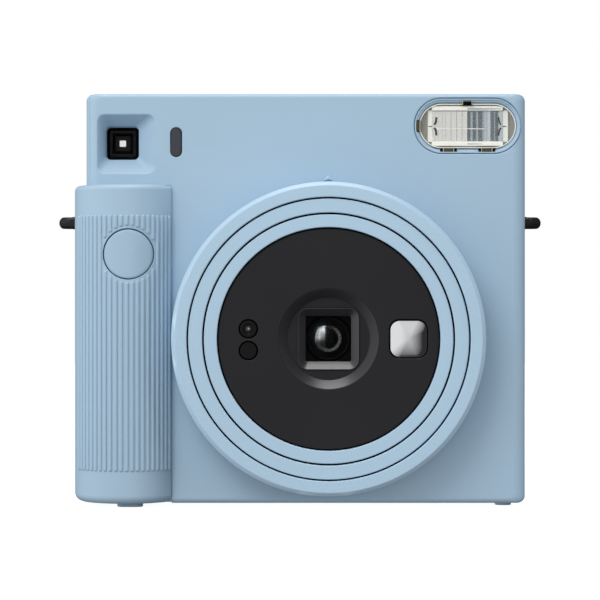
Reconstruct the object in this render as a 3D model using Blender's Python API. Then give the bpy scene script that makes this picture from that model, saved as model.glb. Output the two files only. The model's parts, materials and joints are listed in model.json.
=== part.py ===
"""Instant camera for square instant film, as an assembly of separate sub-parts.

Frame: +X to the camera's left-hand side as seen from in front (the flash side),
+Z up, and the lens looks along -Y. The origin is on the resting surface, under
the middle of the camera. Sizes in this file are in millimetres, and MM turns
them into Blender's metres where the meshes are made.
"""

import math

import bmesh
import bpy
from mathutils import Vector

MM = 0.001
GAP = 0.3

# Body shell
LEFT, RIGHT = -61.7, 65.35
BOTTOM, TOP = 0.9, 118.6
FRONT, SPLIT, REAR = -17.0, 6.0, 26.0
WALL = 2.0
CORNER = 2.4
SIDE_FILLET, TOP_FILLET, BOTTOM_FILLET, REAR_FILLET = 4.0, 1.2, 1.7, 3.0

# Ribbed grip on the battery side
GRIP_LEFT, GRIP_SEAM = -65.35, -36.9
GRIP_BOTTOM, GRIP_TOP = 1.3, 92.3
GRIP_CREST_X, GRIP_CREST_Y = -47.0, -27.0
GRIP_FLANK_Y = -9.0
GRIP_POWER = 2.3
GRIP_END_FILLET = 1.6

# Lens group
AXIS_X, AXIS_Z = 8.1, 48.3
DIAL_OUTER, DIAL_INNER, DIAL_BEVEL = 44.6, 40.0, 1.3
DIAL_FRONT = -28.75
OUTER_RING = (35.6, 39.6)
INNER_RING = (31.4, 35.2)
FACE_RADIUS = 31.1
FACE_FRONT = -27.3
RECESS = (14.3, 12.0)
HOOD_SIZE, HOOD_THROAT = 17.6, 13.7
LENS_RADIUS = 6.5
MIRROR_X, MIRROR_Z = AXIS_X + 22.5, AXIS_Z + 0.15
SHUTTER_SIZE, SHUTTER_APERTURE = 34.0, 5.0

# Viewfinder, sensor pill and flash
FINDER_X, FINDER_Z, FINDER_W, FINDER_H = -50.0, 104.2, 16.9, 17.4
FINDER_WINDOW_X, FINDER_WINDOW, FINDER_BACK = -51.2, 9.9, -10.0
PILL = (-35.6, 104.7, 3.5, 8.7)
FLASH_X, FLASH_Z, FLASH_W, FLASH_H = 48.2, 109.4, 30.8, 16.6
FLASH_WINDOW_W, FLASH_WINDOW_H = 27.7, 13.0

# Shutter button
BUTTON_X, BUTTON_Z, BUTTON_RADIUS = -48.8, 72.4, 7.25

# Film: the sheet is 86 x 72 mm with a 62 x 62 mm picture
FILM_LOW, FILM_HIGH = 7.0, 101.0
FILM_LEFT, FILM_RIGHT = -32.0, 48.0
FILM_FRONT, FILM_BACK = 10.6, 23.6
PICTURE = 62.0

# Rollers and gears
ROLLER_Z, ROLLER_RADIUS, SHAFT_RADIUS = 108.0, 3.5, 1.0
ROLLER_Y = (8.2, 15.8)
GEAR_X = (58.0, 61.0)
MODULE = 0.7
TEETH_ROLLER, TEETH_IDLER, TEETH_PINION = 20, 28, 9
MESH_SLACK = 0.2
MOTOR_Y, MOTOR_Z, MOTOR_RADIUS = -4.0, 92.0, 7.9

# Film door on the back
DOOR_LEFT, DOOR_RIGHT, DOOR_LOW, DOOR_HIGH = -38.0, 57.6, 2.6, 104.5
DOOR_FRONT, DOOR_BACK = 26.3, 28.2
DOOR_AXIS_X, DOOR_AXIS_Y, KNUCKLE = 60.0, 26.9, 1.8
OPENING = (-35.0, 53.0, 5.0, 103.0)
HINGE_LOW, HINGE_HIGH, HINGE_BOSS = 20.0, 88.0, 7.6
LATCH = (-45.0, -40.0, 43.5, 57.5)
LATCH_TRACK = (-45.4, -39.6, 40.0, 61.0)
FILM_SLOT = (-31.0, 47.0, 9.5, 14.5)
EYEPIECE = 15.0
COUNTER_X, COUNTER_Z = -52.0, 78.0

# Battery bay on the side
CELL_X, CELL_Y, CELL_RADIUS, CELL_LENGTH = -54.6, 15.0, 7.75, 27.0
CELL_BASE = 7.0
BATTERY_AXIS_X, BATTERY_AXIS_Y = -64.45, 22.2
BATTERY_DOOR = (8.0, 6.0, 66.0)

# Feet as (X, Y, width, depth, height), and the strap lugs on both sides
FOOT_FRONT_LEFT = (-48.8, -17.0, 7.4, 4.4, 2.0)
FOOT_FRONT_RIGHT = (58.8, -11.0, 4.7, 4.4, 1.6)
FOOT_REAR = (2.0, 20.5, 64.0, 4.4, 1.6)
LUG_Y, LUG_LOW, LUG_HIGH, LUG_REACH, LUG_RADIUS = -2.0, 80.1, 83.7, 5.35, 3.5

# Small parts: pivot offset from the optical axis, and (X, Z) places
BLADE_PIVOT, BLADE_DROP = 8.0, 9.0
PACK_WINDOW = (30.0, 53.0)
SCREWS = ((-39.3, 111.3), (57.3, 111.3))
BOARD_CHIPS = (
    (-16.0, 106.0, 10.0, 10.0, 1.6), (4.0, 104.0, 7.0, 7.0, 1.2), (19.0, 107.0, 6.0, 9.0, 3.0)
)

BLUE = (0.40, 0.56, 0.71)
PALE_BLUE = (0.43, 0.58, 0.73)
BLACK = (0.023, 0.023, 0.028)


# ---------------------------------------------------------------- materials

def material(name, colour, roughness=0.5, metallic=0.0, alpha=1.0):
    """A Principled material, made once for each name."""
    found = bpy.data.materials.get(name)
    if found:
        return found
    made = bpy.data.materials.new(name)
    made.use_nodes = True
    shader = made.node_tree.nodes["Principled BSDF"]
    shader.inputs["Base Color"].default_value = (*colour, 1.0)
    shader.inputs["Roughness"].default_value = roughness
    shader.inputs["Metallic"].default_value = metallic
    shader.inputs["Alpha"].default_value = alpha
    made.diffuse_color = (*colour, alpha)
    return made


def blue():
    return material("blue_plastic", BLUE, 0.62)


def ring_blue():
    return material("ring_plastic", PALE_BLUE, 0.55)


def black():
    return material("black_plastic", BLACK, 0.45)


def white_plastic():
    return material("white_plastic", (0.72, 0.72, 0.70), 0.5)


def steel():
    return material("steel", (0.60, 0.60, 0.62), 0.3, 1.0)


def rubber():
    return material("rubber", (0.03, 0.03, 0.03), 0.85)


def clear():
    return material("clear_plastic", (0.85, 0.88, 0.90), 0.08, 0.0, 0.35)


def glass():
    return material("lens_glass", (0.25, 0.28, 0.32), 0.03, 0.0, 0.35)


# ------------------------------------------------------------------ outlines

def arc_points(cx, cy, radius, start, end, steps):
    """Points on an arc, both ends included, with the angles in degrees."""
    angles = [math.radians(start + (end - start) * i / steps) for i in range(steps + 1)]
    return [(cx + radius * math.cos(a), cy + radius * math.sin(a)) for a in angles]


def circle(cx, cy, radius, count=32):
    return arc_points(cx, cy, radius, 0, 360, count)[:-1]


def rectangle(low_x, high_x, low_y, high_y, radius=0.0, steps=4):
    """A rectangle, anticlockwise, with its corners rounded where a radius is given."""
    if radius <= 0:
        return [(low_x, low_y), (high_x, low_y), (high_x, high_y), (low_x, high_y)]
    corners = (
        (high_x - radius, low_y + radius, -90),
        (high_x - radius, high_y - radius, 0),
        (low_x + radius, high_y - radius, 90),
        (low_x + radius, low_y + radius, 180),
    )
    points = []
    for cx, cy, start in corners:
        points += arc_points(cx, cy, radius, start, start + 90, steps)
    return points


def centred(cx, cy, width, height, radius=0.0, steps=4):
    return rectangle(
        cx - width / 2, cx + width / 2, cy - height / 2, cy + height / 2, radius, steps
    )


def stadium(cx, cy, width, height, steps=8):
    """A pill outline. The ends of the longer side are half circles."""
    return centred(cx, cy, width, height, min(width, height) / 2 - 0.001, steps)


def grip_curve(inset=0.0, steps=9):
    """The grip's outer skin seen from above, from the seam round to the flank."""
    points = []
    for start, end, reach_x, reach_y in (
        (90, 0, GRIP_SEAM - GRIP_CREST_X, FRONT - GRIP_CREST_Y),
        (0, -90, GRIP_CREST_X - GRIP_LEFT, GRIP_FLANK_Y - GRIP_CREST_Y),
    ):
        for i in range(steps + 1):
            angle = math.radians(start + (end - start) * i / steps)
            across = abs(math.sin(angle)) ** (2 / GRIP_POWER) * (reach_x - inset)
            depth = abs(math.cos(angle)) ** (2 / GRIP_POWER) * (reach_y - inset)
            side = math.copysign(1, start + end)
            base = FRONT if side > 0 else GRIP_FLANK_Y
            points.append((GRIP_CREST_X + side * across, base - depth))
    return points[:steps] + points[steps + 1:]


def gear_outline(cx, cy, teeth, phase):
    """Straight-sided teeth with backlash. One tooth points along phase, in radians."""
    pitch_radius = MODULE * teeth / 2
    root, tip = pitch_radius - 1.15 * MODULE, pitch_radius + 0.8 * MODULE
    step = 2 * math.pi / teeth
    points = []
    for i in range(teeth):
        middle = phase + i * step
        for radius, share in ((root, -0.26), (tip, -0.11), (tip, 0.11), (root, 0.26)):
            angle = middle + share * step
            points.append((cx + radius * math.cos(angle), cy + radius * math.sin(angle)))
    return points


# -------------------------------------------------------------------- solids

def place(axis, u, v, w):
    """A point with (u, v) across the axis and w along it."""
    if axis == "X":
        return (w, u, v)
    if axis == "Y":
        return (u, w, v)
    return (u, v, w)


def solid(points, faces):
    """A mesh object from points in millimetres, with its faces turned outwards."""
    mesh = bpy.data.meshes.new("solid")
    mesh.from_pydata([Vector(p) * MM for p in points], [], faces)
    work = bmesh.new()
    work.from_mesh(mesh)
    bmesh.ops.recalc_face_normals(work, faces=work.faces)
    work.to_mesh(mesh)
    work.free()
    obj = bpy.data.objects.new("solid", mesh)
    bpy.context.scene.collection.objects.link(obj)
    return obj


def loft(rings):
    """Skins a row of rings with the same number of points, and caps both ends."""
    count = len(rings[0])
    points = [p for ring in rings for p in ring]
    faces = [list(range(count)), [len(points) - count + i for i in range(count)]]
    for k in range(len(rings) - 1):
        for i in range(count):
            j = (i + 1) % count
            low, high = k * count, (k + 1) * count
            faces.append([low + i, low + j, high + j, high + i])
    return solid(points, faces)


def prism(outline, axis, low, high):
    return loft([[place(axis, u, v, w) for u, v in outline] for w in (low, high)])


def taper(outline_low, outline_high, axis, low, high):
    """A prism whose outline changes from one end to the other."""
    ends = ((outline_low, low), (outline_high, high))
    return loft([[place(axis, u, v, w) for u, v in outline] for outline, w in ends])


def turned(profile, cx, cy, axis="Y", count=48):
    """Turns a closed (radius, along) profile about an axis through (cx, cy)."""
    points, rings, faces = [], [], []
    for radius, along in profile:
        if radius == 0:
            rings.append([len(points)] * count)
            points.append(place(axis, cx, cy, along))
            continue
        rings.append(list(range(len(points), len(points) + count)))
        points += [place(axis, u, v, along) for u, v in circle(cx, cy, radius, count)]
    for k, ring in enumerate(rings):
        following = rings[(k + 1) % len(rings)]
        if ring[0] == ring[1] and following[0] == following[1]:
            continue
        for i in range(count):
            j = (i + 1) % count
            corners = [ring[i], ring[j], following[j], following[i]]
            faces.append(list(dict.fromkeys(corners)))
    return solid(points, faces)


def rounded_block(left, right, bottom, top, flat_y, far_y, fillets, corner):
    """A block across Y. Its edges round flat_y are filleted: (side, top, bottom)."""
    side, upper, lower = fillets
    toward = math.copysign(1, far_y - flat_y)
    depths = {0.0}
    for radius in fillets:
        depths |= {round(radius * (1 - math.cos(math.radians(a))), 3) for a in (35, 65, 90)}
    rings = []

    def inset(radius, depth):
        if depth >= radius:
            return 0.0
        return radius - math.sqrt(radius ** 2 - (radius - depth) ** 2)

    for depth in sorted(depths) + [abs(far_y - flat_y)]:
        outline = rectangle(
            left + inset(side, depth), right - inset(side, depth),
            bottom + inset(lower, depth), top - inset(upper, depth), corner, 3,
        )
        rings.append([(x, flat_y + toward * depth, z) for x, z in outline])
    return loft(rings)


def coil(cx, cz, low_y, high_y, radius, wire, turns, per_turn=10, sides=5):
    """A compression spring along Y."""
    rings = []
    steps = turns * per_turn
    for k in range(steps + 1):
        angle = 2 * math.pi * k / per_turn
        middle_y = low_y + wire + (high_y - low_y - 2 * wire) * k / steps
        ring = []
        for s in range(sides):
            turn = 2 * math.pi * s / sides
            out = radius + wire * math.cos(turn)
            y = middle_y + wire * math.sin(turn)
            ring.append((cx + out * math.cos(angle), y, cz + out * math.sin(angle)))
        rings.append(ring)
    return loft(rings)


def combine(target, tool, operation):
    """Applies an exact Boolean to target and removes the tool."""
    modifier = target.modifiers.new("shape", "BOOLEAN")
    modifier.operation = operation
    modifier.solver = "EXACT"
    modifier.object = tool
    graph = bpy.context.evaluated_depsgraph_get()
    graph.update()
    shaped = bpy.data.meshes.new_from_object(target.evaluated_get(graph))
    target.modifiers.clear()
    target.data = shaped
    bpy.data.objects.remove(tool, do_unlink=True)
    return target


def cut(target, *tools):
    for tool in tools:
        combine(target, tool, "DIFFERENCE")
    return target


def join(target, *tools):
    for tool in tools:
        combine(target, tool, "UNION")
    return target


def node(obj, name, finish, origin=None):
    """Names a finished solid, gives it its material and sets its origin."""
    obj.name = obj.data.name = name
    obj.data.materials.clear()
    obj.data.materials.append(finish)
    if origin:
        shift = Vector(origin) * MM
        for vertex in obj.data.vertices:
            vertex.co -= shift
        obj.location = shift
    obj.data.shade_smooth()
    obj.data.set_sharp_from_angle(angle=math.radians(35))
    return obj


# --------------------------------------------------------------- body shells

def strap_hole(sign):
    """The passage through a side wall for a strap lug's neck."""
    edge = GRIP_LEFT if sign < 0 else RIGHT
    middle = (LUG_LOW + LUG_HIGH) / 2
    return prism(
        centred(LUG_Y, middle, 2 * LUG_RADIUS + 2 * GAP, LUG_HIGH - LUG_LOW + 2 * GAP),
        "X", edge - 4, edge + 4,
    )


def make_front_cover():
    fillets = (SIDE_FILLET, TOP_FILLET, BOTTOM_FILLET)
    cover = rounded_block(LEFT, RIGHT, BOTTOM, TOP, FRONT, SPLIT, fillets, CORNER)
    inner = rounded_block(
        LEFT + WALL, RIGHT - WALL, BOTTOM + WALL, TOP - WALL,
        FRONT + WALL, SPLIT + 5, (2.2, 0.4, 0.4), 1.0,
    )
    cut(cover, inner)
    boss = prism(rectangle(LEFT + 1.0, -40.0, 93.6, TOP - 1.0), "Y", FRONT + 1.0, -8.4)
    join(cover, boss)
    recess = taper(
        centred(FINDER_X, FINDER_Z, FINDER_W + 0.4, FINDER_H + 0.4, 2.0, 3),
        centred(FINDER_WINDOW_X, FINDER_Z, FINDER_WINDOW, FINDER_WINDOW, 1.4, 3),
        "Y", FRONT - 0.4, FINDER_BACK,
    )
    window = prism(
        centred(FINDER_WINDOW_X, FINDER_Z, FINDER_WINDOW - 0.1, FINDER_WINDOW - 0.1, 1.3, 3),
        "Y", FINDER_BACK - 0.4, FINDER_BACK + WALL,
    )
    flash = prism(
        stadium(FLASH_X, FLASH_Z, FLASH_W + 2 * GAP, FLASH_H + 2 * GAP), "Y", FRONT - 1, -12.0
    )
    pill = prism(
        stadium(PILL[0], PILL[1], PILL[2] + 2 * GAP, PILL[3] + 2 * GAP, 6), "Y", FRONT - 1, -14.0
    )
    lens = prism(circle(AXIS_X, AXIS_Z, 42.0, 48), "Y", FRONT - 1, FRONT + WALL + 1)
    grip_bay = prism(
        rectangle(LEFT - 9, GRIP_SEAM + GAP, BOTTOM - 9, GRIP_TOP + GAP), "Y", FRONT - 9, SPLIT + 9
    )
    cut(cover, recess, window, flash, pill, lens, grip_bay, strap_hole(1))
    node(cover, "front_cover", blue())


def make_rear_cover():
    start = SPLIT + GAP
    fillets = (REAR_FILLET, 1.6, 1.7)
    cover = rounded_block(LEFT, RIGHT, BOTTOM, TOP, REAR, start, fillets, CORNER)
    side = rounded_block(
        GRIP_LEFT, -40.0, GRIP_BOTTOM, GRIP_TOP, REAR, start, (2.0, 1.6, 1.3), 1.6
    )
    join(cover, side)
    inner = rounded_block(
        LEFT + WALL, RIGHT - WALL, BOTTOM + WALL, TOP - WALL,
        REAR - WALL, start - 5, (1.2, 0.4, 0.4), 1.0,
    )
    inner_side = rounded_block(
        GRIP_LEFT + WALL, -42.0, GRIP_BOTTOM + WALL, GRIP_TOP - WALL,
        REAR - WALL, start - 5, (0.8, 0.4, 0.4), 0.8,
    )
    cut(cover, join(inner, inner_side))
    opening = prism(rectangle(*OPENING), "Y", REAR - 4, REAR + 2)
    slot = prism(rectangle(*FILM_SLOT, 1.0, 2), "Z", TOP - 4, TOP + 2)
    notch_low, notch_high = HINGE_LOW - 0.4, HINGE_HIGH + 0.4
    hinge_notch = prism(
        rectangle(DOOR_RIGHT + GAP, DOOR_AXIS_X + 2.3, REAR - 1.3, REAR + 4), "Z", notch_low, notch_high
    )
    eye_hole = EYEPIECE + 2 * GAP
    eyepiece = prism(
        centred(FINDER_X, FINDER_Z, eye_hole, eye_hole, 2.0, 3), "Y", REAR - 4, REAR + 2
    )
    counter = prism(circle(COUNTER_X, COUNTER_Z, 3.3, 20), "Y", REAR - 4, REAR + 2)
    battery = prism(
        rectangle(BATTERY_DOOR[0] - 0.4, BATTERY_AXIS_Y + 1.2, BATTERY_DOOR[1], BATTERY_DOOR[2]),
        "X", GRIP_LEFT - 1, GRIP_LEFT + WALL + 1,
    )
    latch = prism(rectangle(*LATCH_TRACK), "Y", REAR - 0.9, REAR + 2)
    cut(cover, opening, slot, hinge_notch, eyepiece, counter, battery, latch)
    for low, high in ((notch_low - HINGE_BOSS, notch_low), (notch_high, notch_high + HINGE_BOSS)):
        boss = prism(circle(DOOR_AXIS_X, DOOR_AXIS_Y, KNUCKLE, 20), "Z", low, high)
        join(cover, boss)
        cut(cover, prism(circle(DOOR_AXIS_X, DOOR_AXIS_Y, 0.95, 16), "Z", low - 1, high + 1))
    for low, high in ((3.9, 7.0), (65.0, 68.1)):
        pivot = circle(BATTERY_AXIS_X, BATTERY_AXIS_Y, 0.75, 12)
        cut(cover, prism(pivot, "Z", low, high))
    for x, z in SCREWS:
        cut(cover, prism(circle(x, z, 2.5, 20), "Y", REAR - 1.0, REAR + 2))
        cut(cover, prism(circle(x, z, 1.3, 16), "Y", REAR - 4, REAR + 2))
    cut(cover, foot(FOOT_REAR, GAP))
    node(cover, "rear_cover", blue())


def grip_block(inset, low, high, fillet, reach_x, reach_y):
    """The grip's rounded column. Its two ends are filleted round the outer skin."""
    rings = []
    for end, toward in ((low, 1), (high, -1)):
        levels = []
        for angle in (0, 30, 60, 90):
            depth = fillet * (1 - math.cos(math.radians(angle)))
            shrink = fillet * (1 - math.sin(math.radians(angle)))
            levels.append((end + toward * depth, shrink))
        rings += levels if toward > 0 else levels[::-1]
    sections = []
    for z, shrink in rings:
        skin = grip_curve(inset + shrink)
        left = GRIP_LEFT + inset + shrink
        outline = skin + [(left, reach_y), (reach_x, reach_y), (reach_x, FRONT + inset)]
        sections.append([(x, y, z) for x, y in outline])
    return loft(sections)


def make_grip_cover():
    cover = grip_block(0.0, GRIP_BOTTOM, GRIP_TOP, GRIP_END_FILLET, GRIP_SEAM, SPLIT - GAP)
    inner = grip_block(
        WALL, GRIP_BOTTOM + WALL, GRIP_TOP - WALL, 0.5, GRIP_SEAM + 5, SPLIT + 5
    )
    cut(cover, inner)
    button = prism(circle(BUTTON_X, BUTTON_Z, BUTTON_RADIUS + 0.35, 32), "Y", -30, -20)
    cut(cover, button, strap_hole(-1), foot(FOOT_FRONT_LEFT, GAP))
    node(cover, "grip_cover", blue())


# -------------------------------------------------------------------- feet

def foot(size, room=0.0):
    """A foot from its (X, Y, width, depth, height), or its socket where room is given."""
    x, y, width, depth, height = size
    outline = centred(x, y, width + 2 * room, depth + 2 * room, 2.0, 4)
    return prism(outline, "Z", 0.0, height + room)


def make_feet():
    node(foot(FOOT_FRONT_LEFT), "foot_front_left", rubber())
    node(foot(FOOT_FRONT_RIGHT), "foot_front_right", rubber())
    node(foot(FOOT_REAR), "foot_rear", rubber())
    cut(bpy.data.objects["front_cover"], foot(FOOT_FRONT_RIGHT, GAP))


# ---------------------------------------------------------------- lens group

def on_axis(profile, count=48):
    return turned(profile, AXIS_X, AXIS_Z, "Y", count)


def ring_profile(inner, outer, front, lip_back, tube_inner, back, chamfer=0.35):
    """A barrel: a flat front lip from inner to outer, and a tube behind its outer part."""
    return [
        (inner + chamfer, front), (inner, front + chamfer), (inner, lip_back),
        (tube_inner, lip_back), (tube_inner, back), (outer, back),
        (outer, front + chamfer), (outer - chamfer, front),
    ]


def make_dial():
    profile = [
        (DIAL_INNER + 0.35, DIAL_FRONT), (DIAL_INNER, DIAL_FRONT + 0.35),
        (DIAL_INNER, -26.2), (42.0, -26.2), (42.0, FRONT - GAP), (DIAL_OUTER, FRONT - GAP),
    ]
    centre = (DIAL_OUTER - DIAL_BEVEL, DIAL_FRONT + DIAL_BEVEL)
    profile += arc_points(*centre, DIAL_BEVEL, 0, -90, 3)
    node(on_axis(profile), "mode_dial", ring_blue(), (AXIS_X, 0, AXIS_Z))


def make_barrels():
    housing = [
        (39.95, -25.8), (39.95, -4.0), (43.5, -4.0), (43.5, -6.0), (41.65, -6.0), (41.65, -25.8)
    ]
    node(on_axis(housing), "lens_housing", black())
    outer = ring_profile(OUTER_RING[0], OUTER_RING[1], -28.3, -26.8, 37.9, -8.0)
    node(on_axis(outer), "lens_barrel_outer", ring_blue())
    inner = ring_profile(INNER_RING[0], INNER_RING[1], -28.0, -25.2, 33.4, -8.0)
    barrel = on_axis(inner)
    carrier = on_axis([(16.0, -25.2), (16.0, -23.7), (34.0, -23.7), (34.0, -25.2)])
    join(barrel, carrier)
    node(barrel, "lens_barrel_inner", ring_blue())


def sensor_places():
    return (("upper", AXIS_X - 22.7, AXIS_Z + 2.85), ("lower", AXIS_X - 22.7, AXIS_Z - 3.3))


def make_faceplate():
    half = HOOD_SIZE / 2 + GAP
    profile = [
        (0, FACE_FRONT + 2.7), (RECESS[1], FACE_FRONT + 2.7), (RECESS[0], FACE_FRONT),
        (FACE_RADIUS, FACE_FRONT), (FACE_RADIUS, FACE_FRONT + 1.8),
        (15.4, FACE_FRONT + 1.8), (13.2, FACE_FRONT + 3.9), (0, FACE_FRONT + 3.9),
    ]
    plate = on_axis(profile)
    hood = prism(centred(AXIS_X, AXIS_Z, 2 * half, 2 * half, 2.6, 3), "Y", -30, -20)
    mirror = prism(centred(MIRROR_X, MIRROR_Z, 11.1, 10.9, 2.6, 4), "Y", -30, -20)
    cut(plate, hood, mirror)
    for _, x, z in sensor_places():
        cut(plate, prism(circle(x, z, 2.8, 20), "Y", -30, -20))
    node(plate, "lens_faceplate", black())


def make_lens_cell():
    hood = prism(centred(AXIS_X, AXIS_Z, HOOD_SIZE, HOOD_SIZE, 2.4, 3), "Y", -25.0, -22.9)
    funnel = taper(
        centred(AXIS_X, AXIS_Z, HOOD_SIZE - 0.8, HOOD_SIZE - 0.8, 2.0, 3),
        centred(AXIS_X, AXIS_Z, HOOD_THROAT, HOOD_THROAT, 1.6, 3),
        "Y", -25.4, -22.5,
    )
    node(cut(hood, funnel), "lens_hood_frame", black())
    bore = LENS_RADIUS + 0.3
    cell = [
        (bore, -22.5), (bore, -12.4), (bore + 1.6, -12.4), (bore + 1.6, -21.0),
        (22.0, -21.0), (22.0, -22.5),
    ]
    node(on_axis(cell, 40), "lens_cell", black())
    convex = [(0, -23.2), (2.5, -23.0), (4.7, -22.3), (LENS_RADIUS, -21.2)]
    front = convex + [(LENS_RADIUS, -19.4), (0, -18.9)]
    node(on_axis(front, 32), "lens_element_front", glass())
    rear = [(0, -15.6), (LENS_RADIUS, -15.0), (LENS_RADIUS, -13.4), (3.5, -12.9), (0, -12.8)]
    node(on_axis(rear, 32), "lens_element_rear", glass())


def make_shutter():
    unit = prism(centred(AXIS_X, AXIS_Z, SHUTTER_SIZE, SHUTTER_SIZE, 4.0, 3), "Y", -12.0, -9.2)
    cut(unit, prism(circle(AXIS_X, AXIS_Z, SHUTTER_APERTURE, 32), "Y", -14, -7))
    for side in (-1, 1):
        pivot = circle(AXIS_X + side * BLADE_PIVOT, AXIS_Z - BLADE_DROP, 0.7, 12)
        join(unit, prism(pivot, "Y", -10.0, -7.0))
    node(unit, "shutter_unit", black())
    for side, front, name in ((-1, -8.9, "shutter_blade_left"), (1, -8.2, "shutter_blade_right")):
        pivot = (AXIS_X + side * BLADE_PIVOT, AXIS_Z - BLADE_DROP)
        outline = [
            (pivot[0] + side * 2.0, pivot[1] - 2.0), (pivot[0] + side * 2.0, pivot[1] + 2.0),
            (AXIS_X + side * 6.5, AXIS_Z + 6.5), (AXIS_X - side * 1.0, AXIS_Z + 6.5),
            (AXIS_X - side * 1.0, AXIS_Z - 6.5), (pivot[0] - side * 2.0, pivot[1] - 2.0),
        ]
        blade = prism(outline, "Y", front, front + 0.4)
        cut(blade, prism(circle(*pivot, 1.0, 12), "Y", front - 1, front + 2))
        node(blade, name, steel(), (pivot[0], front, pivot[1]))


def make_face_fittings():
    flat = centred(MIRROR_X, MIRROR_Z, 10.6, 10.4, 2.4, 4)
    crown = centred(MIRROR_X, MIRROR_Z, 7.6, 7.4, 1.8, 4)
    rings = [
        [(u, -25.7, v) for u, v in flat], [(u, -27.35, v) for u, v in flat],
        [(u, -27.65, v) for u, v in crown],
    ]
    node(loft(rings), "selfie_mirror", material("mirror", (0.75, 0.76, 0.78), 0.05, 1.0))
    for level, x, z in sensor_places():
        window = prism(circle(x, z, 2.5, 20), "Y", -27.1, -25.6)
        node(window, f"light_sensor_window_{level}", material("dark_window", BLACK, 0.1))


# ---------------------------------------------------------- viewfinder, flash

def make_viewfinder():
    x, z = FINDER_WINDOW_X, FINDER_Z
    objective = prism(centred(x, z, FINDER_WINDOW - 0.7, FINDER_WINDOW - 0.7, 0.8, 3), "Y", -9.9, -8.5)
    node(objective, "viewfinder_objective", glass())
    tube = taper(
        centred(x, z, 13.4, 13.4, 1.5, 3), centred(FINDER_X, z, 13.8, 13.8, 1.5, 3),
        "Y", -8.0, 23.4,
    )
    bore = taper(
        centred(x, z, 9.0, 9.0, 1.0, 3), centred(FINDER_X, z, 11.4, 11.4, 1.0, 3),
        "Y", -8.6, 24.0,
    )
    node(cut(tube, bore), "viewfinder_tube", black())
    surround = prism(centred(FINDER_X, z, EYEPIECE, EYEPIECE, 1.8, 3), "Y", 23.7, 28.75)
    cut(surround, prism(centred(FINDER_X, z, 10.6, 10.6, 1.2, 3), "Y", 22, 30))
    node(surround, "eyepiece_surround", rubber())
    lens = prism(centred(FINDER_X, z, 10.0, 10.0, 1.0, 3), "Y", 24.2, 26.0)
    node(lens, "eyepiece_lens", glass())


def make_flash():
    window = prism(
        stadium(PILL[0], PILL[1], PILL[2], PILL[3], 6), "Y", FRONT + 0.2, FRONT + 1.7
    )
    node(window, "flash_sensor_window", material("grey_window", (0.06, 0.065, 0.085), 0.25))
    bezel = prism(stadium(FLASH_X, FLASH_Z, FLASH_W, FLASH_H), "Y", FRONT - 0.5, -14.6)
    hole = stadium(FLASH_X, FLASH_Z, FLASH_WINDOW_W + 2 * GAP, FLASH_WINDOW_H + 2 * GAP)
    node(cut(bezel, prism(hole, "Y", -19, -12)), "flash_bezel", blue())
    pane = stadium(FLASH_X, FLASH_Z, FLASH_WINDOW_W, FLASH_WINDOW_H)
    node(prism(pane, "Y", FRONT - 0.3, FRONT + 1.0), "flash_window", clear())
    outer = arc_points(-14.2, FLASH_Z, 6.2, -90, 90, 8)
    inner = arc_points(-14.2, FLASH_Z, 5.5, 90, -90, 8)
    trough = prism(outer + inner, "X", FLASH_X - 11.4, FLASH_X + 11.4)
    node(trough, "flash_reflector", material("reflector", (0.80, 0.78, 0.70), 0.2, 0.9))
    tube = prism(circle(-12.6, FLASH_Z, 1.2, 16), "X", FLASH_X - 12.4, FLASH_X + 12.4)
    node(tube, "flash_tube", clear())
    capacitor = prism(circle(56.6, -4.0, 6.3, 24), "Z", 6.0, 35.0)
    node(capacitor, "flash_capacitor", black())


# ------------------------------------------------------------ film transport

def gear_centre(first, second, reach_first, reach_second):
    """The point at the two given distances from two centres, on the rear side."""
    step = Vector(second) - Vector(first)
    span = step.length
    along = (reach_first ** 2 - reach_second ** 2 + span ** 2) / (2 * span)
    across = math.sqrt(reach_first ** 2 - along ** 2)
    unit = step / span
    return Vector(first) + unit * along + Vector((unit.y, -unit.x)) * across


def gear_layout():
    """Centres (Y, Z) and phases of the roller gear, the idler and the pinion."""
    roller = Vector((ROLLER_Y[0], ROLLER_Z))
    pinion = Vector((MOTOR_Y, MOTOR_Z))
    reach = [MODULE * (TEETH_IDLER + n) / 2 + MESH_SLACK for n in (TEETH_PINION, TEETH_ROLLER)]
    idler = gear_centre(pinion, roller, *reach)

    def direction(start, end):
        return math.atan2(end.y - start.y, end.x - start.x)

    def pitch(teeth):
        return 2 * math.pi / teeth

    idler_phase = direction(idler, roller)
    roller_phase = idler_phase + math.pi + pitch(TEETH_ROLLER) / 2
    line = direction(idler, pinion)
    lag = (line - idler_phase) % pitch(TEETH_IDLER)
    pinion_phase = line + math.pi + lag * TEETH_IDLER / TEETH_PINION + pitch(TEETH_PINION) / 2
    return {
        "roller": (roller, TEETH_ROLLER, roller_phase),
        "idler": (idler, TEETH_IDLER, idler_phase),
        "pinion": (pinion, TEETH_PINION, pinion_phase),
    }


def make_gear(which, name, bore, finish):
    centre, teeth, phase = gear_layout()[which]
    gear = prism(gear_outline(centre.x, centre.y, teeth, phase), "X", *GEAR_X)
    cut(gear, prism(circle(centre.x, centre.y, bore, 16), "X", GEAR_X[0] - 1, GEAR_X[1] + 1))
    node(gear, name, finish, (GEAR_X[0], centre.x, centre.y))


def make_rollers():
    for name, y, end in (("drive_roller", ROLLER_Y[0], 61.6), ("pinch_roller", ROLLER_Y[1], 54.6)):
        low = -37.4
        profile = [
            (0, low), (SHAFT_RADIUS, low), (SHAFT_RADIUS, -33.0), (ROLLER_RADIUS, -33.0),
            (ROLLER_RADIUS, 49.0), (SHAFT_RADIUS, 49.0), (SHAFT_RADIUS, end), (0, end),
        ]
        roller = turned(profile, y, ROLLER_Z, "X", 24)
        node(roller, name, steel(), (8.0, y, ROLLER_Z))


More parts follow.
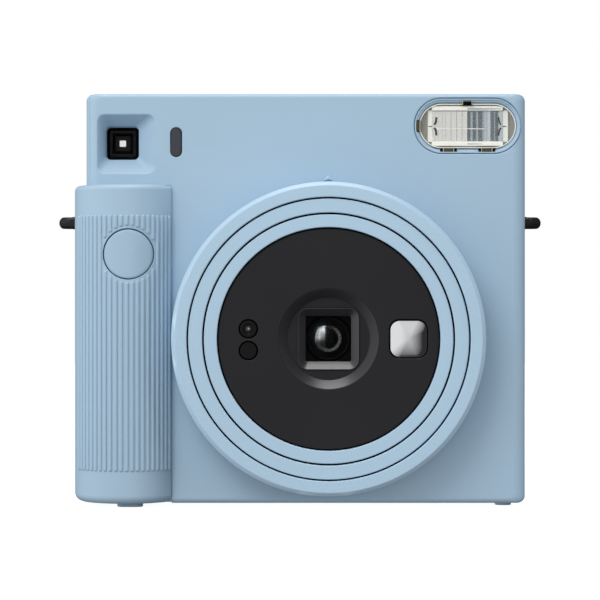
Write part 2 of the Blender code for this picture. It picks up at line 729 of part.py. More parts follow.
def make_roller_bracket():
    idler = gear_layout()["idler"][0]
    left = prism(rectangle(3.0, 20.0, 102.8, 112.8), "X", -36.0, -34.5)
    right_outline = [
        (-12.4, 83.6), (20.0, 83.6), (20.0, 112.8), (3.0, 112.8), (3.0, 101.0), (-12.4, 101.0)
    ]
    right = prism(right_outline, "X", 51.5, 53.0)
    bar = prism(rectangle(-35.0, 52.0, 2.5, 4.1), "Z", 102.9, 112.7)
    bracket = join(bar, left, right)
    join(bracket, prism(circle(idler.x, idler.y, 0.9, 12), "X", 52.0, 61.5))
    for y in ROLLER_Y:
        cut(bracket, prism(circle(y, ROLLER_Z, 1.3, 16), "X", -40.0, 56.0))
    cut(bracket, prism(circle(MOTOR_Y, MOTOR_Z, 2.0, 16), "X", 49.0, 56.0))
    node(bracket, "roller_bracket", steel())


def make_motor():
    profile = [
        (0, 35.0), (MOTOR_RADIUS, 35.0), (MOTOR_RADIUS, 51.2), (1.8, 51.2), (1.8, 52.6),
        (0.75, 52.6), (0.75, 61.5), (0, 61.5),
    ]
    motor = turned(profile, MOTOR_Y, MOTOR_Z, "X", 24)
    node(motor, "motor", steel())


def make_chamber():
    disc = prism(circle(AXIS_X, AXIS_Z, 43.3, 40), "Y", -3.7, -1.7)
    plate = prism(rectangle(-34.0, 50.0, 5.0, 102.0), "Y", 8.2, 10.2)
    box = taper(
        centred(AXIS_X, AXIS_Z, 54.0, 54.0), centred(AXIS_X, AXIS_Z, 68.0, 68.0), "Y", -2.4, 8.8
    )
    chamber = join(disc, plate, box)
    inside = taper(
        centred(AXIS_X, AXIS_Z, 50.0, 50.0), centred(AXIS_X, AXIS_Z, 63.4, 63.4), "Y", -4.2, 10.8
    )
    node(cut(chamber, inside), "exposure_chamber", black())


def make_film():
    case = prism(
        rectangle(FILM_LEFT, FILM_RIGHT, FILM_LOW, FILM_HIGH), "Y", FILM_FRONT, FILM_BACK
    )
    hollow = prism(
        rectangle(FILM_LEFT + 1.2, FILM_RIGHT - 1.2, FILM_LOW + 1.2, FILM_HIGH - 1.2),
        "Y", FILM_FRONT + 1.0, FILM_BACK - 1.0,
    )
    picture = prism(centred(AXIS_X, AXIS_Z, PICTURE, PICTURE), "Y", FILM_FRONT - 1, FILM_FRONT + 2)
    mouth = prism(rectangle(-29.0, 45.0, 11.6, 12.6), "Z", FILM_HIGH - 3, FILM_HIGH + 2)
    join(picture, hollow)
    cut(case, picture, mouth)
    node(case, "film_cartridge", black())
    sheets = prism(rectangle(AXIS_X - 36, AXIS_X + 36, 9.3, 95.3), "Y", 11.9, 17.4)
    node(sheets, "film_sheets", white_plastic())
    claw = prism(rectangle(10.9, 14.4, 22.0, 72.0), "X", -35.6, -34.6)
    join(claw, prism(rectangle(10.9, 13.0, 22.0, 24.0), "X", -35.0, -32.4))
    node(claw, "film_claw", steel())


def make_counter():
    dial = prism(circle(COUNTER_X, COUNTER_Z, 7.0, 32), "Y", 22.3, 23.2)
    node(dial, "film_counter_dial", white_plastic(), (COUNTER_X, 22.3, COUNTER_Z))
    pane = prism(circle(COUNTER_X, COUNTER_Z, 3.0, 20), "Y", 24.4, 25.8)
    node(pane, "counter_window", clear())


# --------------------------------------------------------------------- doors

def make_film_door():
    door = rounded_block(
        DOOR_LEFT, DOOR_RIGHT, DOOR_LOW, DOOR_HIGH, DOOR_BACK, DOOR_FRONT, (1.2, 1.2, 1.2), 3.0
    )
    rim = prism(rectangle(-34.2, 52.2, 5.8, 102.2), "Y", 24.4, DOOR_FRONT + 0.5)
    cut(rim, prism(rectangle(-33.0, 51.0, 7.0, 101.0), "Y", 23.0, DOOR_FRONT))
    join(door, rim)
    reach = rectangle(DOOR_RIGHT - 1.5, DOOR_AXIS_X, DOOR_FRONT, DOOR_BACK - 0.2)
    arm = prism(reach, "Z", HINGE_LOW, HINGE_HIGH)
    knuckle = prism(circle(DOOR_AXIS_X, DOOR_AXIS_Y, KNUCKLE, 20), "Z", HINGE_LOW, HINGE_HIGH)
    join(door, arm, knuckle)
    cut(door, prism(circle(DOOR_AXIS_X, DOOR_AXIS_Y, 1.1, 16), "Z", 18.0, 90.0))
    cut(door, prism(centred(*PACK_WINDOW, 9.0, 28.0, 2.0, 3), "Y", 25.0, 30.0))
    node(door, "film_door", blue(), (DOOR_AXIS_X, DOOR_AXIS_Y, 0))
    pane = prism(centred(*PACK_WINDOW, 8.4, 27.4, 1.7, 3), "Y", 26.4, 28.0)
    node(pane, "pack_window", material("amber_window", (0.75, 0.55, 0.12), 0.1, 0.0, 0.35))
    pin = prism(circle(DOOR_AXIS_X, DOOR_AXIS_Y, 0.7, 12), "Z", 12.3, 95.7)
    node(pin, "door_hinge_pin", steel())
    latch = rounded_block(*LATCH, DOOR_BACK, REAR - 0.5, (0.8, 0.8, 0.8), 1.2)
    node(latch, "door_latch", black())


def make_batteries():
    low, high = BATTERY_DOOR[1] + GAP, BATTERY_DOOR[2] - GAP
    rear = arc_points(BATTERY_AXIS_X, BATTERY_AXIS_Y, 0.9, 0, 180, 8)
    outline = [(BATTERY_AXIS_X - 0.9, BATTERY_DOOR[0]), (BATTERY_AXIS_X + 0.9, BATTERY_DOOR[0])]
    door = prism(outline + rear, "Z", low, high)
    join(door, prism(circle(BATTERY_AXIS_X, BATTERY_AXIS_Y, 0.45, 12), "Z", low - 1.8, high + 1.8))
    node(door, "battery_door", blue(), (BATTERY_AXIS_X, BATTERY_AXIS_Y, 0))
    for i, name in enumerate(("battery_lower", "battery_upper")):
        base = CELL_BASE + i * (CELL_LENGTH + 0.4)
        top = base + CELL_LENGTH
        profile = [
            (0, base), (CELL_RADIUS, base), (CELL_RADIUS, top - 1.2), (3.0, top - 1.2),
            (3.0, top), (0, top),
        ]
        cell = turned(profile, CELL_X, CELL_Y, "Z", 24)
        node(cell, name, material("battery_wrap", (0.05, 0.06, 0.10), 0.4))
    contact = prism(rectangle(CELL_X - 5, CELL_X + 5, CELL_Y - 5, CELL_Y + 5), "Z", 62.0, 62.5)
    join(contact, prism(rectangle(CELL_X + 4.4, CELL_X + 5, CELL_Y - 5, CELL_Y + 5), "Z", 62.2, 70.0))
    node(contact, "battery_contact", steel())


# ------------------------------------------------------ button, lugs, fixings

def make_button():
    face = grip_block(0.05, 60.0, 85.0, 0.5, GRIP_SEAM, SPLIT)
    button = prism(circle(BUTTON_X, BUTTON_Z, BUTTON_RADIUS, 32), "Y", -30.0, -22.4)
    combine(button, face, "INTERSECT")
    join(button, prism(circle(BUTTON_X, BUTTON_Z, 2.2, 16), "Y", -23.0, -19.2))
    node(button, "shutter_button", blue(), (BUTTON_X, -23.0, BUTTON_Z))
    spring = coil(BUTTON_X, BUTTON_Z, -22.1, -16.9, 3.6, 0.25, 5)
    node(spring, "shutter_spring", steel())
    board = prism(rectangle(-58.0, -40.0, 61.0, 84.0), "Y", -16.6, -15.2)
    join(board, prism(centred(BUTTON_X, BUTTON_Z, 3.4, 3.4), "Y", -17.7, -16.0))
    node(board, "shutter_switch", material("switch_board", (0.03, 0.16, 0.08), 0.5))


def make_circuit_board():
    board = prism(rectangle(-27.0, 29.0, 96.0, 115.0), "Y", -9.0, -7.4)
    for x, z, w, h, rise in BOARD_CHIPS:
        join(board, prism(centred(x, z, w, h), "Y", -9.0 - rise, -8.5))
    node(board, "circuit_board", material("circuit_green", (0.03, 0.16, 0.08), 0.5))


def make_strap_lugs():
    for sign, name, edge in ((-1, "strap_lug_left", GRIP_LEFT), (1, "strap_lug_right", RIGHT)):
        inside = edge - sign * 3.6
        centre = edge + sign * (LUG_REACH - LUG_RADIUS)
        side = (LUG_Y - LUG_RADIUS, LUG_Y + LUG_RADIUS)
        neck = prism(rectangle(*sorted((inside, edge + sign * 2.4)), *side), "Z", LUG_LOW, LUG_HIGH)
        loop = prism(circle(centre, LUG_Y, LUG_RADIUS, 24), "Z", LUG_LOW, LUG_HIGH)
        flange = prism(
            rectangle(*sorted((inside, edge - sign * 2.4)), LUG_Y - 5, LUG_Y + 5),
            "Z", LUG_LOW - 1.7, LUG_HIGH + 1.7,
        )
        join(loop, neck, flange)
        hole = prism(circle(centre, LUG_Y, 1.9, 20), "Z", LUG_LOW - 2, LUG_HIGH + 2)
        node(cut(loop, hole), name, black())


def make_screws():
    for i, (x, z) in enumerate(SCREWS):
        profile = [(0, 25.2), (2.1, 25.2), (1.7, 26.0), (0, 26.0)]
        head = turned(profile, x, z, "Y", 20)
        shank = prism(circle(x, z, 1.0, 12), "Y", 17.5, 25.5)
        join(head, shank)
        cross = prism(centred(x, z, 2.4, 0.6), "Y", 25.6, 27.0)
        join(cross, prism(centred(x, z, 0.6, 2.4), "Y", 25.6, 27.0))
        node(cut(head, cross), f"case_screw_{i + 1}", steel())


def main():
    for obj in list(bpy.data.objects):
        bpy.data.objects.remove(obj, do_unlink=True)
    make_front_cover()
    make_rear_cover()
    make_grip_cover()
    make_feet()
    make_dial()
    make_barrels()
    make_faceplate()
    make_lens_cell()
    make_shutter()
    make_face_fittings()
    make_viewfinder()
    make_flash()
    make_gear("roller", "roller_gear", 1.15, white_plastic())
    make_gear("idler", "intermediate_gear", 1.2, white_plastic())
    make_gear("pinion", "motor_pinion", 1.0, white_plastic())
    make_rollers()
    make_roller_bracket()
    make_motor()
    make_chamber()
    make_film()
    make_counter()
    make_film_door()
    make_batteries()
    make_button()
    make_circuit_board()
    make_strap_lugs()
    make_screws()


main()
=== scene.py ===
"""Looks of the instant camera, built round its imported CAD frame.

Lengths are in millimetres along the frame's own axes, and MM turns them into metres where a
mesh is made. Places come from the boxes of the CAD nodes. An "outline" is a function that
gives the points of a closed curve, grown outwards by the amount it is called with.
"""

import json
import math

import bmesh
import bpy
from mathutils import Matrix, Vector


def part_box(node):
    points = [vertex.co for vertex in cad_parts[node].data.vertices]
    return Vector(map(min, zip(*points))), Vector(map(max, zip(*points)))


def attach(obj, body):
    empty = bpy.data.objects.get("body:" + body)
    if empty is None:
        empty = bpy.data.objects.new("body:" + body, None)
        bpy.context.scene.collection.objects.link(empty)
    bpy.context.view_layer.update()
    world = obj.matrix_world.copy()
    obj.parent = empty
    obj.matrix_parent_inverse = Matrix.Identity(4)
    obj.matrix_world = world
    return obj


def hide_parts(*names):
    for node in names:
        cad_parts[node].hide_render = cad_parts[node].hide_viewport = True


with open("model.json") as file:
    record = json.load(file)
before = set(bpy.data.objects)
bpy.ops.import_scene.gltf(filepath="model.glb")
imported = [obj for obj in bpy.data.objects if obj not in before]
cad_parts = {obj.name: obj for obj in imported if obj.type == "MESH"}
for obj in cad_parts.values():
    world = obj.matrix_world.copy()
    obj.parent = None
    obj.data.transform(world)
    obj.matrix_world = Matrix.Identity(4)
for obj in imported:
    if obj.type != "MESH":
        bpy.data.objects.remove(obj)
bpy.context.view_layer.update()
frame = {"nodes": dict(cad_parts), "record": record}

MM = 0.001
GAP = 0.3
SLOT_OF = {row["node"]: row["material_slot"] for row in frame["record"]["subparts"]}
BODY_OF = {
    name: body for body, names in frame["record"]["behaviour"]["bodies"].items() for name in names
}


def span(name):
    """A CAD node's lowest and highest corner in millimetres."""
    return [[value / MM for value in corner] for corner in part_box(name)]


def middle(name):
    """A CAD node's centre in millimetres."""
    low, high = span(name)
    return [(a + b) / 2 for a, b in zip(low, high)]


def extent(name):
    """A CAD node's size along X, Y and Z in millimetres."""
    low, high = span(name)
    return [b - a for a, b in zip(low, high)]


# Body shell
(LEFT, FRONT, BOTTOM), (CAD_RIGHT, SPLIT, TOP) = span("front_cover")
RIGHT = CAD_RIGHT - 0.35
REAR = span("case_screw_1")[1][1]
WALL = 2.0
CORNER = 1.8
SIDE_ROUND, TOP_ROUND, BOTTOM_ROUND, REAR_ROUND = 4.0, 1.2, 1.7, 3.0

# Ribbed grip
(GRIP_LEFT, CAD_CREST, GRIP_BOTTOM), (GRIP_SEAM, GRIP_BACK, GRIP_TOP) = span("grip_cover")
CREST_Y = CAD_CREST + 1.3
CREST_X = GRIP_LEFT + 16.3
FLANK_Y = -9.0
SKIN_POWER = 2.1
SEAM_REACH, SEAM_STEP = 1.35, 0.9
GRIP_TOP_ROUND, GRIP_BOTTOM_ROUND = 1.5, 2.3
RIB_PITCH, RIB_WIDTH, RIB_HEIGHT, RIB_END = 1.54, 1.15, 0.42, 0.6
RIB_LOW, RIB_HIGH = GRIP_BOTTOM + 9.25, GRIP_TOP - 8.7
RIB_LEFT, RIB_RIGHT = GRIP_LEFT + 2.0, GRIP_SEAM - 0.6
BUTTON_X, _, BUTTON_Z = middle("shutter_button")
BUTTON_RADIUS = extent("shutter_button")[0] / 2 - 0.25
RIB_CLEARANCE = BUTTON_RADIUS + 1.0

# Lens group
AXIS_X, _, AXIS_Z = middle("mode_dial")
DIAL_RADIUS = extent("mode_dial")[0] / 2
DIAL_FRONT = span("mode_dial")[0][1]
DIAL_BEVEL = 1.1
DIAL_NECK = 42.0
FACE_EDGE = extent("lens_faceplate")[0] / 2 + 0.15
FACE_FRONT = span("lens_faceplate")[0][1]
HOOD_SIZE = extent("lens_hood_frame")[0]
HOOD_THROAT = 13.0
LENS_RADIUS = extent("lens_element_front")[0] / 2
MIRROR_X, MIRROR_Z = middle("selfie_mirror")[0] + 0.15, middle("selfie_mirror")[2] - 0.12

# Viewfinder and flash
FINDER_X, FINDER_W, FINDER_H = -50.0, 16.1, 16.35
FINDER_Z = middle("viewfinder_objective")[2]
WINDOW_X, WINDOW_Z, WINDOW_SIZE = -51.45, FINDER_Z + 0.55, 9.7
FINDER_NECK, FINDER_BACK = -12.4, -10.0
FLASH_X, _, FLASH_Z = middle("flash_bezel")
FLASH_W, FLASH_H = extent("flash_bezel")[0] - 0.3, extent("flash_bezel")[2] - 0.9
PANE_W, PANE_H = extent("flash_window")[0], extent("flash_window")[2] - 0.3
# Where each facet of the flash's reflector starts, from its middle, and its slope. The last
# pair of each half is only its end.
LEFT_FACETS = (
    (-10.3, -0.12), (-9.2, -0.34), (-8.3, -0.18), (-7.2, -0.38), (-6.35, -0.28), (-4.8, -0.28),
    (-3.2, -0.28), (-1.6, -0.28), (0.0, 0.0),
)
RIGHT_FACETS = (
    (0.0, 0.45), (1.5, 0.40), (3.1, 0.34), (4.8, -0.05), (5.7, -0.25), (6.7, 0.25), (8.0, 0.30),
    (9.1, -0.10), (10.3, 0.0),
)
# One keyhole slot of the reflector, from its middle
KEYHOLE = ((9.0, 2.6), (9.15, 1.4), (9.35, 0.9), (9.65, 0.45))

# Back: the door's opening and the film's exit slot (left, right, low, high), the wall between
# the grip's column and the body, and the gap for the door's knuckle
OPENING = (-35.0, 53.0, 5.0, 103.0)
FILM_SLOT = (-31.0, 47.0, 9.5, 14.5)
COLUMN_X = -40.0
HINGE_LOW, HINGE_HIGH = 19.6, 88.4
HINGE_END = 7.6

# Camera: distance from the front wall, height, and half of its view at the front wall
VIEW_DISTANCE = 675.0
VIEW_HEIGHT = 59.35
VIEW_HALF = 86.22

# Points round a large circle
ROUND = 160


# ------------------------------------------------------------------ outlines

def arc(cx, cy, radius, start, end, steps):
    """Points on an arc, both ends included, with the angles in degrees."""
    angles = [math.radians(start + (end - start) * i / steps) for i in range(steps + 1)]
    return [(cx + radius * math.cos(a), cy + radius * math.sin(a)) for a in angles]


def block(left, right, bottom, top, radius, steps=8):
    """The outline of a rectangle with round corners."""
    def outline(grow=0.0):
        r = max(radius + grow, 0.02)
        x0, x1, y0, y1 = left - grow, right + grow, bottom - grow, top + grow
        corners = (
            (x1 - r, y0 + r, -90), (x1 - r, y1 - r, 0), (x0 + r, y1 - r, 90), (x0 + r, y0 + r, 180)
        )
        return [p for cx, cy, a in corners for p in arc(cx, cy, r, a, a + 90, steps)]
    return outline


def panel(cx, cy, width, height, radius, steps=8):
    """A block's outline from its middle and size."""
    return block(cx - width / 2, cx + width / 2, cy - height / 2, cy + height / 2, radius, steps)


def pill(cx, cy, width, height, steps=16):
    """The outline of a slot with half-round ends."""
    return panel(cx, cy, width, height, min(width, height) / 2 - 0.001, steps)


def disc(cx, cy, radius=0.0, count=48):
    """The outline of a circle."""
    return lambda grow=0.0: arc(cx, cy, radius + grow, 0, 360, count)[:-1]


def eased(corners, steps=4):
    """A closed profile from (u, v, radius) corners, each rounded to its radius."""
    points = []
    for i, (u, v, radius) in enumerate(corners):
        here = Vector((u, v))
        if radius <= 0:
            points.append((u, v))
            continue
        before = (Vector(corners[i - 1][:2]) - here).normalized()
        after = (Vector(corners[(i + 1) % len(corners)][:2]) - here).normalized()
        half = before.angle(after) / 2
        centre = here + (before + after).normalized() * radius / math.sin(half)
        first = here + before * radius / math.tan(half) - centre
        last = here + after * radius / math.tan(half) - centre
        start = math.atan2(first.y, first.x)
        turn = (math.atan2(last.y, last.x) - start + math.pi) % (2 * math.pi) - math.pi
        for k in range(steps + 1):
            angle = start + turn * k / steps
            points.append((centre.x + radius * math.cos(angle), centre.y + radius * math.sin(angle)))
    return points


def fillet(radius, steps=5, start=0):
    """(inset, depth) pairs round a quarter turn, from an end face to the side."""
    if radius <= 0:
        return [(0.0, 0.0)]
    angles = [math.radians(start + (90 - start) * i / steps) for i in range(steps + 1)]
    return [(radius * (1 - math.sin(a)), radius * (1 - math.cos(a))) for a in angles]


# -------------------------------------------------------------------- solids

def place(axis, u, v, w):
    """A point with (u, v) across the axis and w along it."""
    return {"X": (w, u, v), "Y": (u, w, v), "Z": (u, v, w)}[axis]


def skin(rings, closed=False):
    """Points and faces over a row of rings. The ends are capped, or joined where closed."""
    count = len(rings[0])
    points = [p for ring in rings for p in ring]
    faces = [] if closed else [list(range(count)), [len(points) - count + i for i in range(count)]]
    for k in range(len(rings) if closed else len(rings) - 1):
        low, high = k * count, (k + 1) % len(rings) * count
        for i in range(count):
            j = (i + 1) % count
            faces.append([low + i, low + j, high + j, high + i])
    return points, faces


def solid(*shells):
    """A mesh object from (points, faces) shells, with its faces turned outwards."""
    points, faces = [], []
    for shell_points, shell_faces in shells:
        faces += [[len(points) + i for i in face] for face in shell_faces]
        points += shell_points
    mesh = bpy.data.meshes.new("solid")
    mesh.from_pydata([Vector(p) * MM for p in points], [], faces)
    work = bmesh.new()
    work.from_mesh(mesh)
    bmesh.ops.recalc_face_normals(work, faces=work.faces)
    work.to_mesh(mesh)
    work.free()
    obj = bpy.data.objects.new("solid", mesh)
    bpy.context.scene.collection.objects.link(obj)
    return obj


def loft(rings, closed=False):
    """A mesh object over one row of rings."""
    return solid(skin(rings, closed))


def levels(outline, axis, steps):
    """Rings of an outline at (grow, along) steps."""
    return [[place(axis, u, v, w) for u, v in outline(grow)] for grow, w in steps]


def pad(outline, axis, low, high, low_round=0.0, high_round=0.0):
    """A block from low to high along the axis, with its end edges rounded."""
    steps = [(-inset, low + depth) for inset, depth in fillet(low_round)]
    steps += [(-inset, high - depth) for inset, depth in reversed(fillet(high_round))]
    return loft(levels(outline, axis, steps))


def bore(outline, axis, mouth, end, lip=0.0):
    """A cutter that goes in at mouth, with a flare that rounds the hole's rim."""
    toward = math.copysign(1, end - mouth)
    rim = fillet(lip, 5, 15)
    steps = [(rim[0][0], mouth - toward)]
    steps += [(inset, mouth + toward * depth) for inset, depth in rim]
    return loft(levels(outline, axis, steps + [(0.0, end)]))


def swept(outline, axis, profile):
    """Carries a closed (grow, along) profile round an outline."""
    return loft(levels(outline, axis, profile), closed=True)


def on_axis(corners, count=ROUND, ease=4):
    """A ring round the optical axis from (radius, Y, rounding) corners."""
    return swept(disc(AXIS_X, AXIS_Z, 0.0, count), "Y", eased(corners, ease))


def rounded_block(left, right, bottom, top, flat_y, far_y, rounds, corner):
    """A block across Y whose edges round flat_y have (side, top, bottom) fillets."""
    side, upper, lower = rounds
    toward = math.copysign(1, far_y - flat_y)
    turns = [math.radians(a) for a in (0, 14, 28, 42, 56, 70, 90)]
    depths = {round(r * (1 - math.cos(a)), 3) for r in rounds for a in turns}

    def inset(radius, depth):
        return 0.0 if depth >= radius else radius - math.sqrt(radius ** 2 - (radius - depth) ** 2)

    rings = []
    for depth in sorted(depths) + [abs(far_y - flat_y)]:
        outline = block(
            left + inset(side, depth), right - inset(side, depth),
            bottom + inset(lower, depth), top - inset(upper, depth), corner, 6,
        )
        rings.append([(x, flat_y + toward * depth, z) for x, z in outline()])
    return loft(rings)


def combine(target, tool, operation):
    """Applies an exact Boolean to target and removes the tool."""
    modifier = target.modifiers.new("shape", "BOOLEAN")
    modifier.operation = operation
    modifier.solver = "EXACT"
    modifier.object = tool
    graph = bpy.context.evaluated_depsgraph_get()
    graph.update()
    target_mesh = bpy.data.meshes.new_from_object(target.evaluated_get(graph))
    target.modifiers.clear()
    target.data = target_mesh
    bpy.data.objects.remove(tool, do_unlink=True)
    return target


def cut(target, *tools):
    """Takes each tool's volume out of target."""
    for tool in tools:
        combine(target, tool, "DIFFERENCE")
    return target


def join(target, *tools):
    """Adds each tool's volume to target."""
    for tool in tools:
        combine(target, tool, "UNION")
    return target


# ----------------------------------------------------------------- materials

def link(tree, source, socket):
    tree.links.new(source, socket)


def noise(tree, scale, detail=2.0, stretch=None):
    """A noise texture in object space, stretched along the axes where asked."""
    place_node = tree.nodes.new("ShaderNodeTexCoord")
    texture = tree.nodes.new("ShaderNodeTexNoise")
    texture.inputs["Scale"].default_value = scale
    texture.inputs["Detail"].default_value = detail
    source = place_node.outputs["Object"]
    if stretch:
        mapping = tree.nodes.new("ShaderNodeMapping")
        mapping.inputs["Scale"].default_value = stretch
        link(tree, source, mapping.inputs["Vector"])
        source = mapping.outputs["Vector"]
    link(tree, source, texture.inputs["Vector"])
    return texture.outputs["Fac"]


def remap(tree, value, low, high, from_low=0.3, from_high=0.7):
    """Carries a value from one range to another. The default suits a noise."""
    node = tree.nodes.new("ShaderNodeMapRange")
    node.inputs["From Min"].default_value = from_low
    node.inputs["From Max"].default_value = from_high
    node.inputs["To Min"].default_value = low
    node.inputs["To Max"].default_value = high
    link(tree, value, node.inputs["Value"])
    return node.outputs["Result"]


def blend_colour(tree, factor, first, second):
    """Mixes two colours. Either may be a colour or another node's output."""
    node = tree.nodes.new("ShaderNodeMix")
    node.data_type = "RGBA"
    link(tree, factor, node.inputs[0])
    for value, socket in ((first, node.inputs[6]), (second, node.inputs[7])):
        if isinstance(value, tuple):
            socket.default_value = (*value, 1.0)
        else:
            link(tree, value, socket)
    return node.outputs[2]


def scaled(colour, factor):
    """A colour made darker or paler."""
    return tuple(min(1.0, channel * factor) for channel in colour)


def finish(name, colour, roughness, grain=0.3, relief=0.006, drift=0.03, speckle=0.03,
           wear_and_highlight=0.06, stretch=None, **sockets):
    """A material with slow colour drift, grain in colour, gloss and relief, and paler edges, which
    are rubbed edges and, where strong, a painted highlight.

    grain is the grain's size and relief its height, in millimetres. drift is how far the
    colour strays either way, speckle how dark the grain gets, and wear how pale the edges get,
    which is rubbing and, where it is large, a painted highlight along the edges.
    stretch holds the grain's scale along each axis. The other keywords are values for the
    Principled shader's own sockets.
    """
    made = bpy.data.materials.new(name)
    made.use_nodes = True
    tree = made.node_tree
    shader = tree.nodes["Principled BSDF"]
    fine = noise(tree, 1 / (grain * MM), 2.0, stretch)
    slow = noise(tree, 22.0, 3.0)
    drifted = blend_colour(
        tree, remap(tree, slow, 0, 1), scaled(colour, 1 - drift), scaled(colour, 1 + drift)
    )
    grained = blend_colour(
        tree, remap(tree, fine, speckle, 0), drifted, scaled(colour, 0.25)
    )
    edges = tree.nodes.new("ShaderNodeNewGeometry").outputs["Pointiness"]
    worn_and_highlit = blend_colour(
        tree, remap(tree, edges, 0, wear_and_highlight, 0.52, 0.62), grained, scaled(colour, 1.9)
    )
    link(tree, worn_and_highlit, shader.inputs["Base Color"])
    spread = min(0.05, 0.3 * roughness)
    gloss = remap(tree, fine, roughness - spread, roughness + spread)
    link(tree, gloss, shader.inputs["Roughness"])
    bump = tree.nodes.new("ShaderNodeBump")
    bump.inputs["Strength"].default_value = 1.0
    bump.inputs["Distance"].default_value = relief * MM
    link(tree, fine, bump.inputs["Height"])
    link(tree, bump.outputs["Normal"], shader.inputs["Normal"])
    for socket, value in sockets.items():
        shader.inputs[socket.replace("_", " ")].default_value = value
    return made


BLUE = (0.352, 0.494, 0.625)
RING_BLUE = (0.420, 0.585, 0.735)
BLACK = (0.016, 0.016, 0.019)

FINISHES = {
    "body_blue": finish("blue_abs", BLUE, 0.55, 0.32, 0.010, 0.02, 0.05, 0.05),
    # The rings' edges are made far paler than rubbing alone: a painted highlight along their rims
    "ring_blue": finish("ring_abs", RING_BLUE, 0.48, 0.28, 0.014, 0.02, 0.10, 0.25),
    "black_plastic": finish(
        "satin_black", BLACK, 0.42, 0.22, 0.008, 0.08, 0.10, 0.02, Specular_IOR_Level=0.25
    ),
    "dark_window": finish(
        "dark_lens", (0.002, 0.002, 0.003), 0.08, 0.9, 0.0004, 0.1, 0.05, 0.0,
        Specular_IOR_Level=0.2,
    ),
    "lens_glass": finish(
        "coated_glass", (0.0002, 0.0002, 0.0002), 0.08, 3.0, 0.000005, 0.02, 0.01, 0.0,
        Alpha=0.25, Specular_IOR_Level=0.08,
    ),
    "clear_plastic": finish(
        "clear_plastic", (0.80, 0.82, 0.80), 0.08, 1.6, 0.001, 0.03, 0.02, 0.0, Alpha=0.08
    ),
    "amber_window": finish(
        "amber_window", (0.62, 0.38, 0.05), 0.10, 1.6, 0.001, 0.05, 0.03, 0.0, Alpha=0.55
    ),
    "mirror": finish(
        "chrome_mirror", (0.86, 0.87, 0.89), 0.06, 3.0, 0.0003, 0.02, 0.02, 0.0, Metallic=1.0
    ),
    "reflector": finish(
        "bright_aluminium", (0.86, 0.86, 0.83), 0.20, 0.5, 0.004, 0.03, 0.05, 0.0, Metallic=0.9
    ),
    "steel": finish(
        "brushed_steel", (0.56, 0.56, 0.58), 0.32, 0.25, 0.004, 0.06, 0.10, 0.05,
        (0.06, 1.0, 1.0), Metallic=1.0,
    ),
    "white_plastic": finish("white_acetal", (0.70, 0.70, 0.67), 0.45, 0.3, 0.005, 0.03, 0.03),
    "rubber": finish("dark_rubber", (0.028, 0.028, 0.030), 0.82, 0.35, 0.02, 0.10, 0.15, 0.03),
    "battery_wrap": finish(
        "battery_sleeve", (0.035, 0.045, 0.085), 0.28, 0.6, 0.004, 0.08, 0.06, 0.0
    ),
    "circuit_board": finish("solder_mask", (0.02, 0.13, 0.06), 0.38, 0.4, 0.01, 0.15, 0.2, 0.0),
}
HOOD_BLACK = finish(
    "hood_black", (0.026, 0.025, 0.029), 0.36, 0.25, 0.004, 0.08, 0.15, 0.02,
    Specular_IOR_Level=1.0,
)
MATT_BLACK = finish(
    "matt_black", (0.003, 0.003, 0.004), 0.75, 0.25, 0.01, 0.1, 0.1, 0.0, Specular_IOR_Level=0.05
)
SMOKED = finish(
    "smoked_pane", (0.004, 0.004, 0.006), 0.08, 1.6, 0.0006, 0.1, 0.1, 0.0,
    Alpha=0.05, Specular_IOR_Level=0.15,
)
PILL_GREY = finish("pill_grey", (0.034, 0.037, 0.048), 0.22, 0.8, 0.001, 0.05, 0.05, 0.0)
TAB_OLIVE = finish("tab_olive", (0.050, 0.050, 0.028), 0.35, 0.5, 0.004, 0.15, 0.25, 0.0)
TAB_EDGE = finish("tab_edge", (0.42, 0.40, 0.18), 0.35, 0.5, 0.004, 0.05, 0.1, 0.0)
TAB_GREY = finish("tab_grey", (0.13, 0.16, 0.18), 0.35, 0.5, 0.004, 0.1, 0.1, 0.0)
RING_STEEL = finish(
    "ring_steel", (0.26, 0.26, 0.27), 0.25, 0.6, 0.0003, 0.03, 0.02, 0.0, Metallic=1.0
)
WARM_WHITE = finish("warm_white", (0.90, 0.90, 0.82), 0.30, 0.5, 0.003, 0.03, 0.03, 0.0)
# A darker, bluish aluminium that is painted shade, for the reflector's right half and the wedges on
# its strips
PAINTED_SHADE_METAL = finish(
    "painted_shade_aluminium", (0.62, 0.71, 0.76), 0.24, 0.5, 0.004, 0.03, 0.05, 0.0, Metallic=0.9
)
# A blue darker than the body's: the feet's own blue, made darker as painted shade for their place
# under the body
FOOT_BLUE = finish("foot_blue", (0.27, 0.39, 0.50), 0.70, 0.35, 0.012, 0.04, 0.06, 0.03)
WARM_GREY = finish("warm_grey", (0.30, 0.28, 0.23), 0.50, 0.5, 0.006, 0.05, 0.1, 0.0)


def piece(obj, name, *nodes, material=None, body=None, slot=None, sharp=30):
    """Names and paints a finished mesh and ties it to its body and the nodes it stands for."""
    slot = slot or SLOT_OF[nodes[0]]
    obj.name = obj.data.name = name
    obj.data.materials.clear()
    obj.data.materials.append(material or FINISHES[slot])
    obj.data.shade_smooth()
    obj.data.set_sharp_from_angle(angle=math.radians(sharp))
    even = obj.modifiers.new("even_normals", "WEIGHTED_NORMAL")
    even.keep_sharp = True
    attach(obj, body or BODY_OF[nodes[0]])
    if nodes:
        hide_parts(*nodes)
    return obj


def trim(obj, name, on, **choices):
    """A detail on a CAD node, which rides with it and takes its slot where none is given."""
    choices.setdefault("slot", SLOT_OF[on])
    return piece(obj, name, body=BODY_OF[on], **choices)


# ------------------------------------------------------------------ the grip

def seam_side():
    """Reach and depth of the skin's ellipse on the seam side, which the seam cuts short."""
    reach = (GRIP_SEAM - CREST_X) * SEAM_REACH
    depth = (FRONT - SEAM_STEP - CREST_Y) / (1 - math.sqrt(1 - 1 / SEAM_REACH ** 2))
    return reach, depth


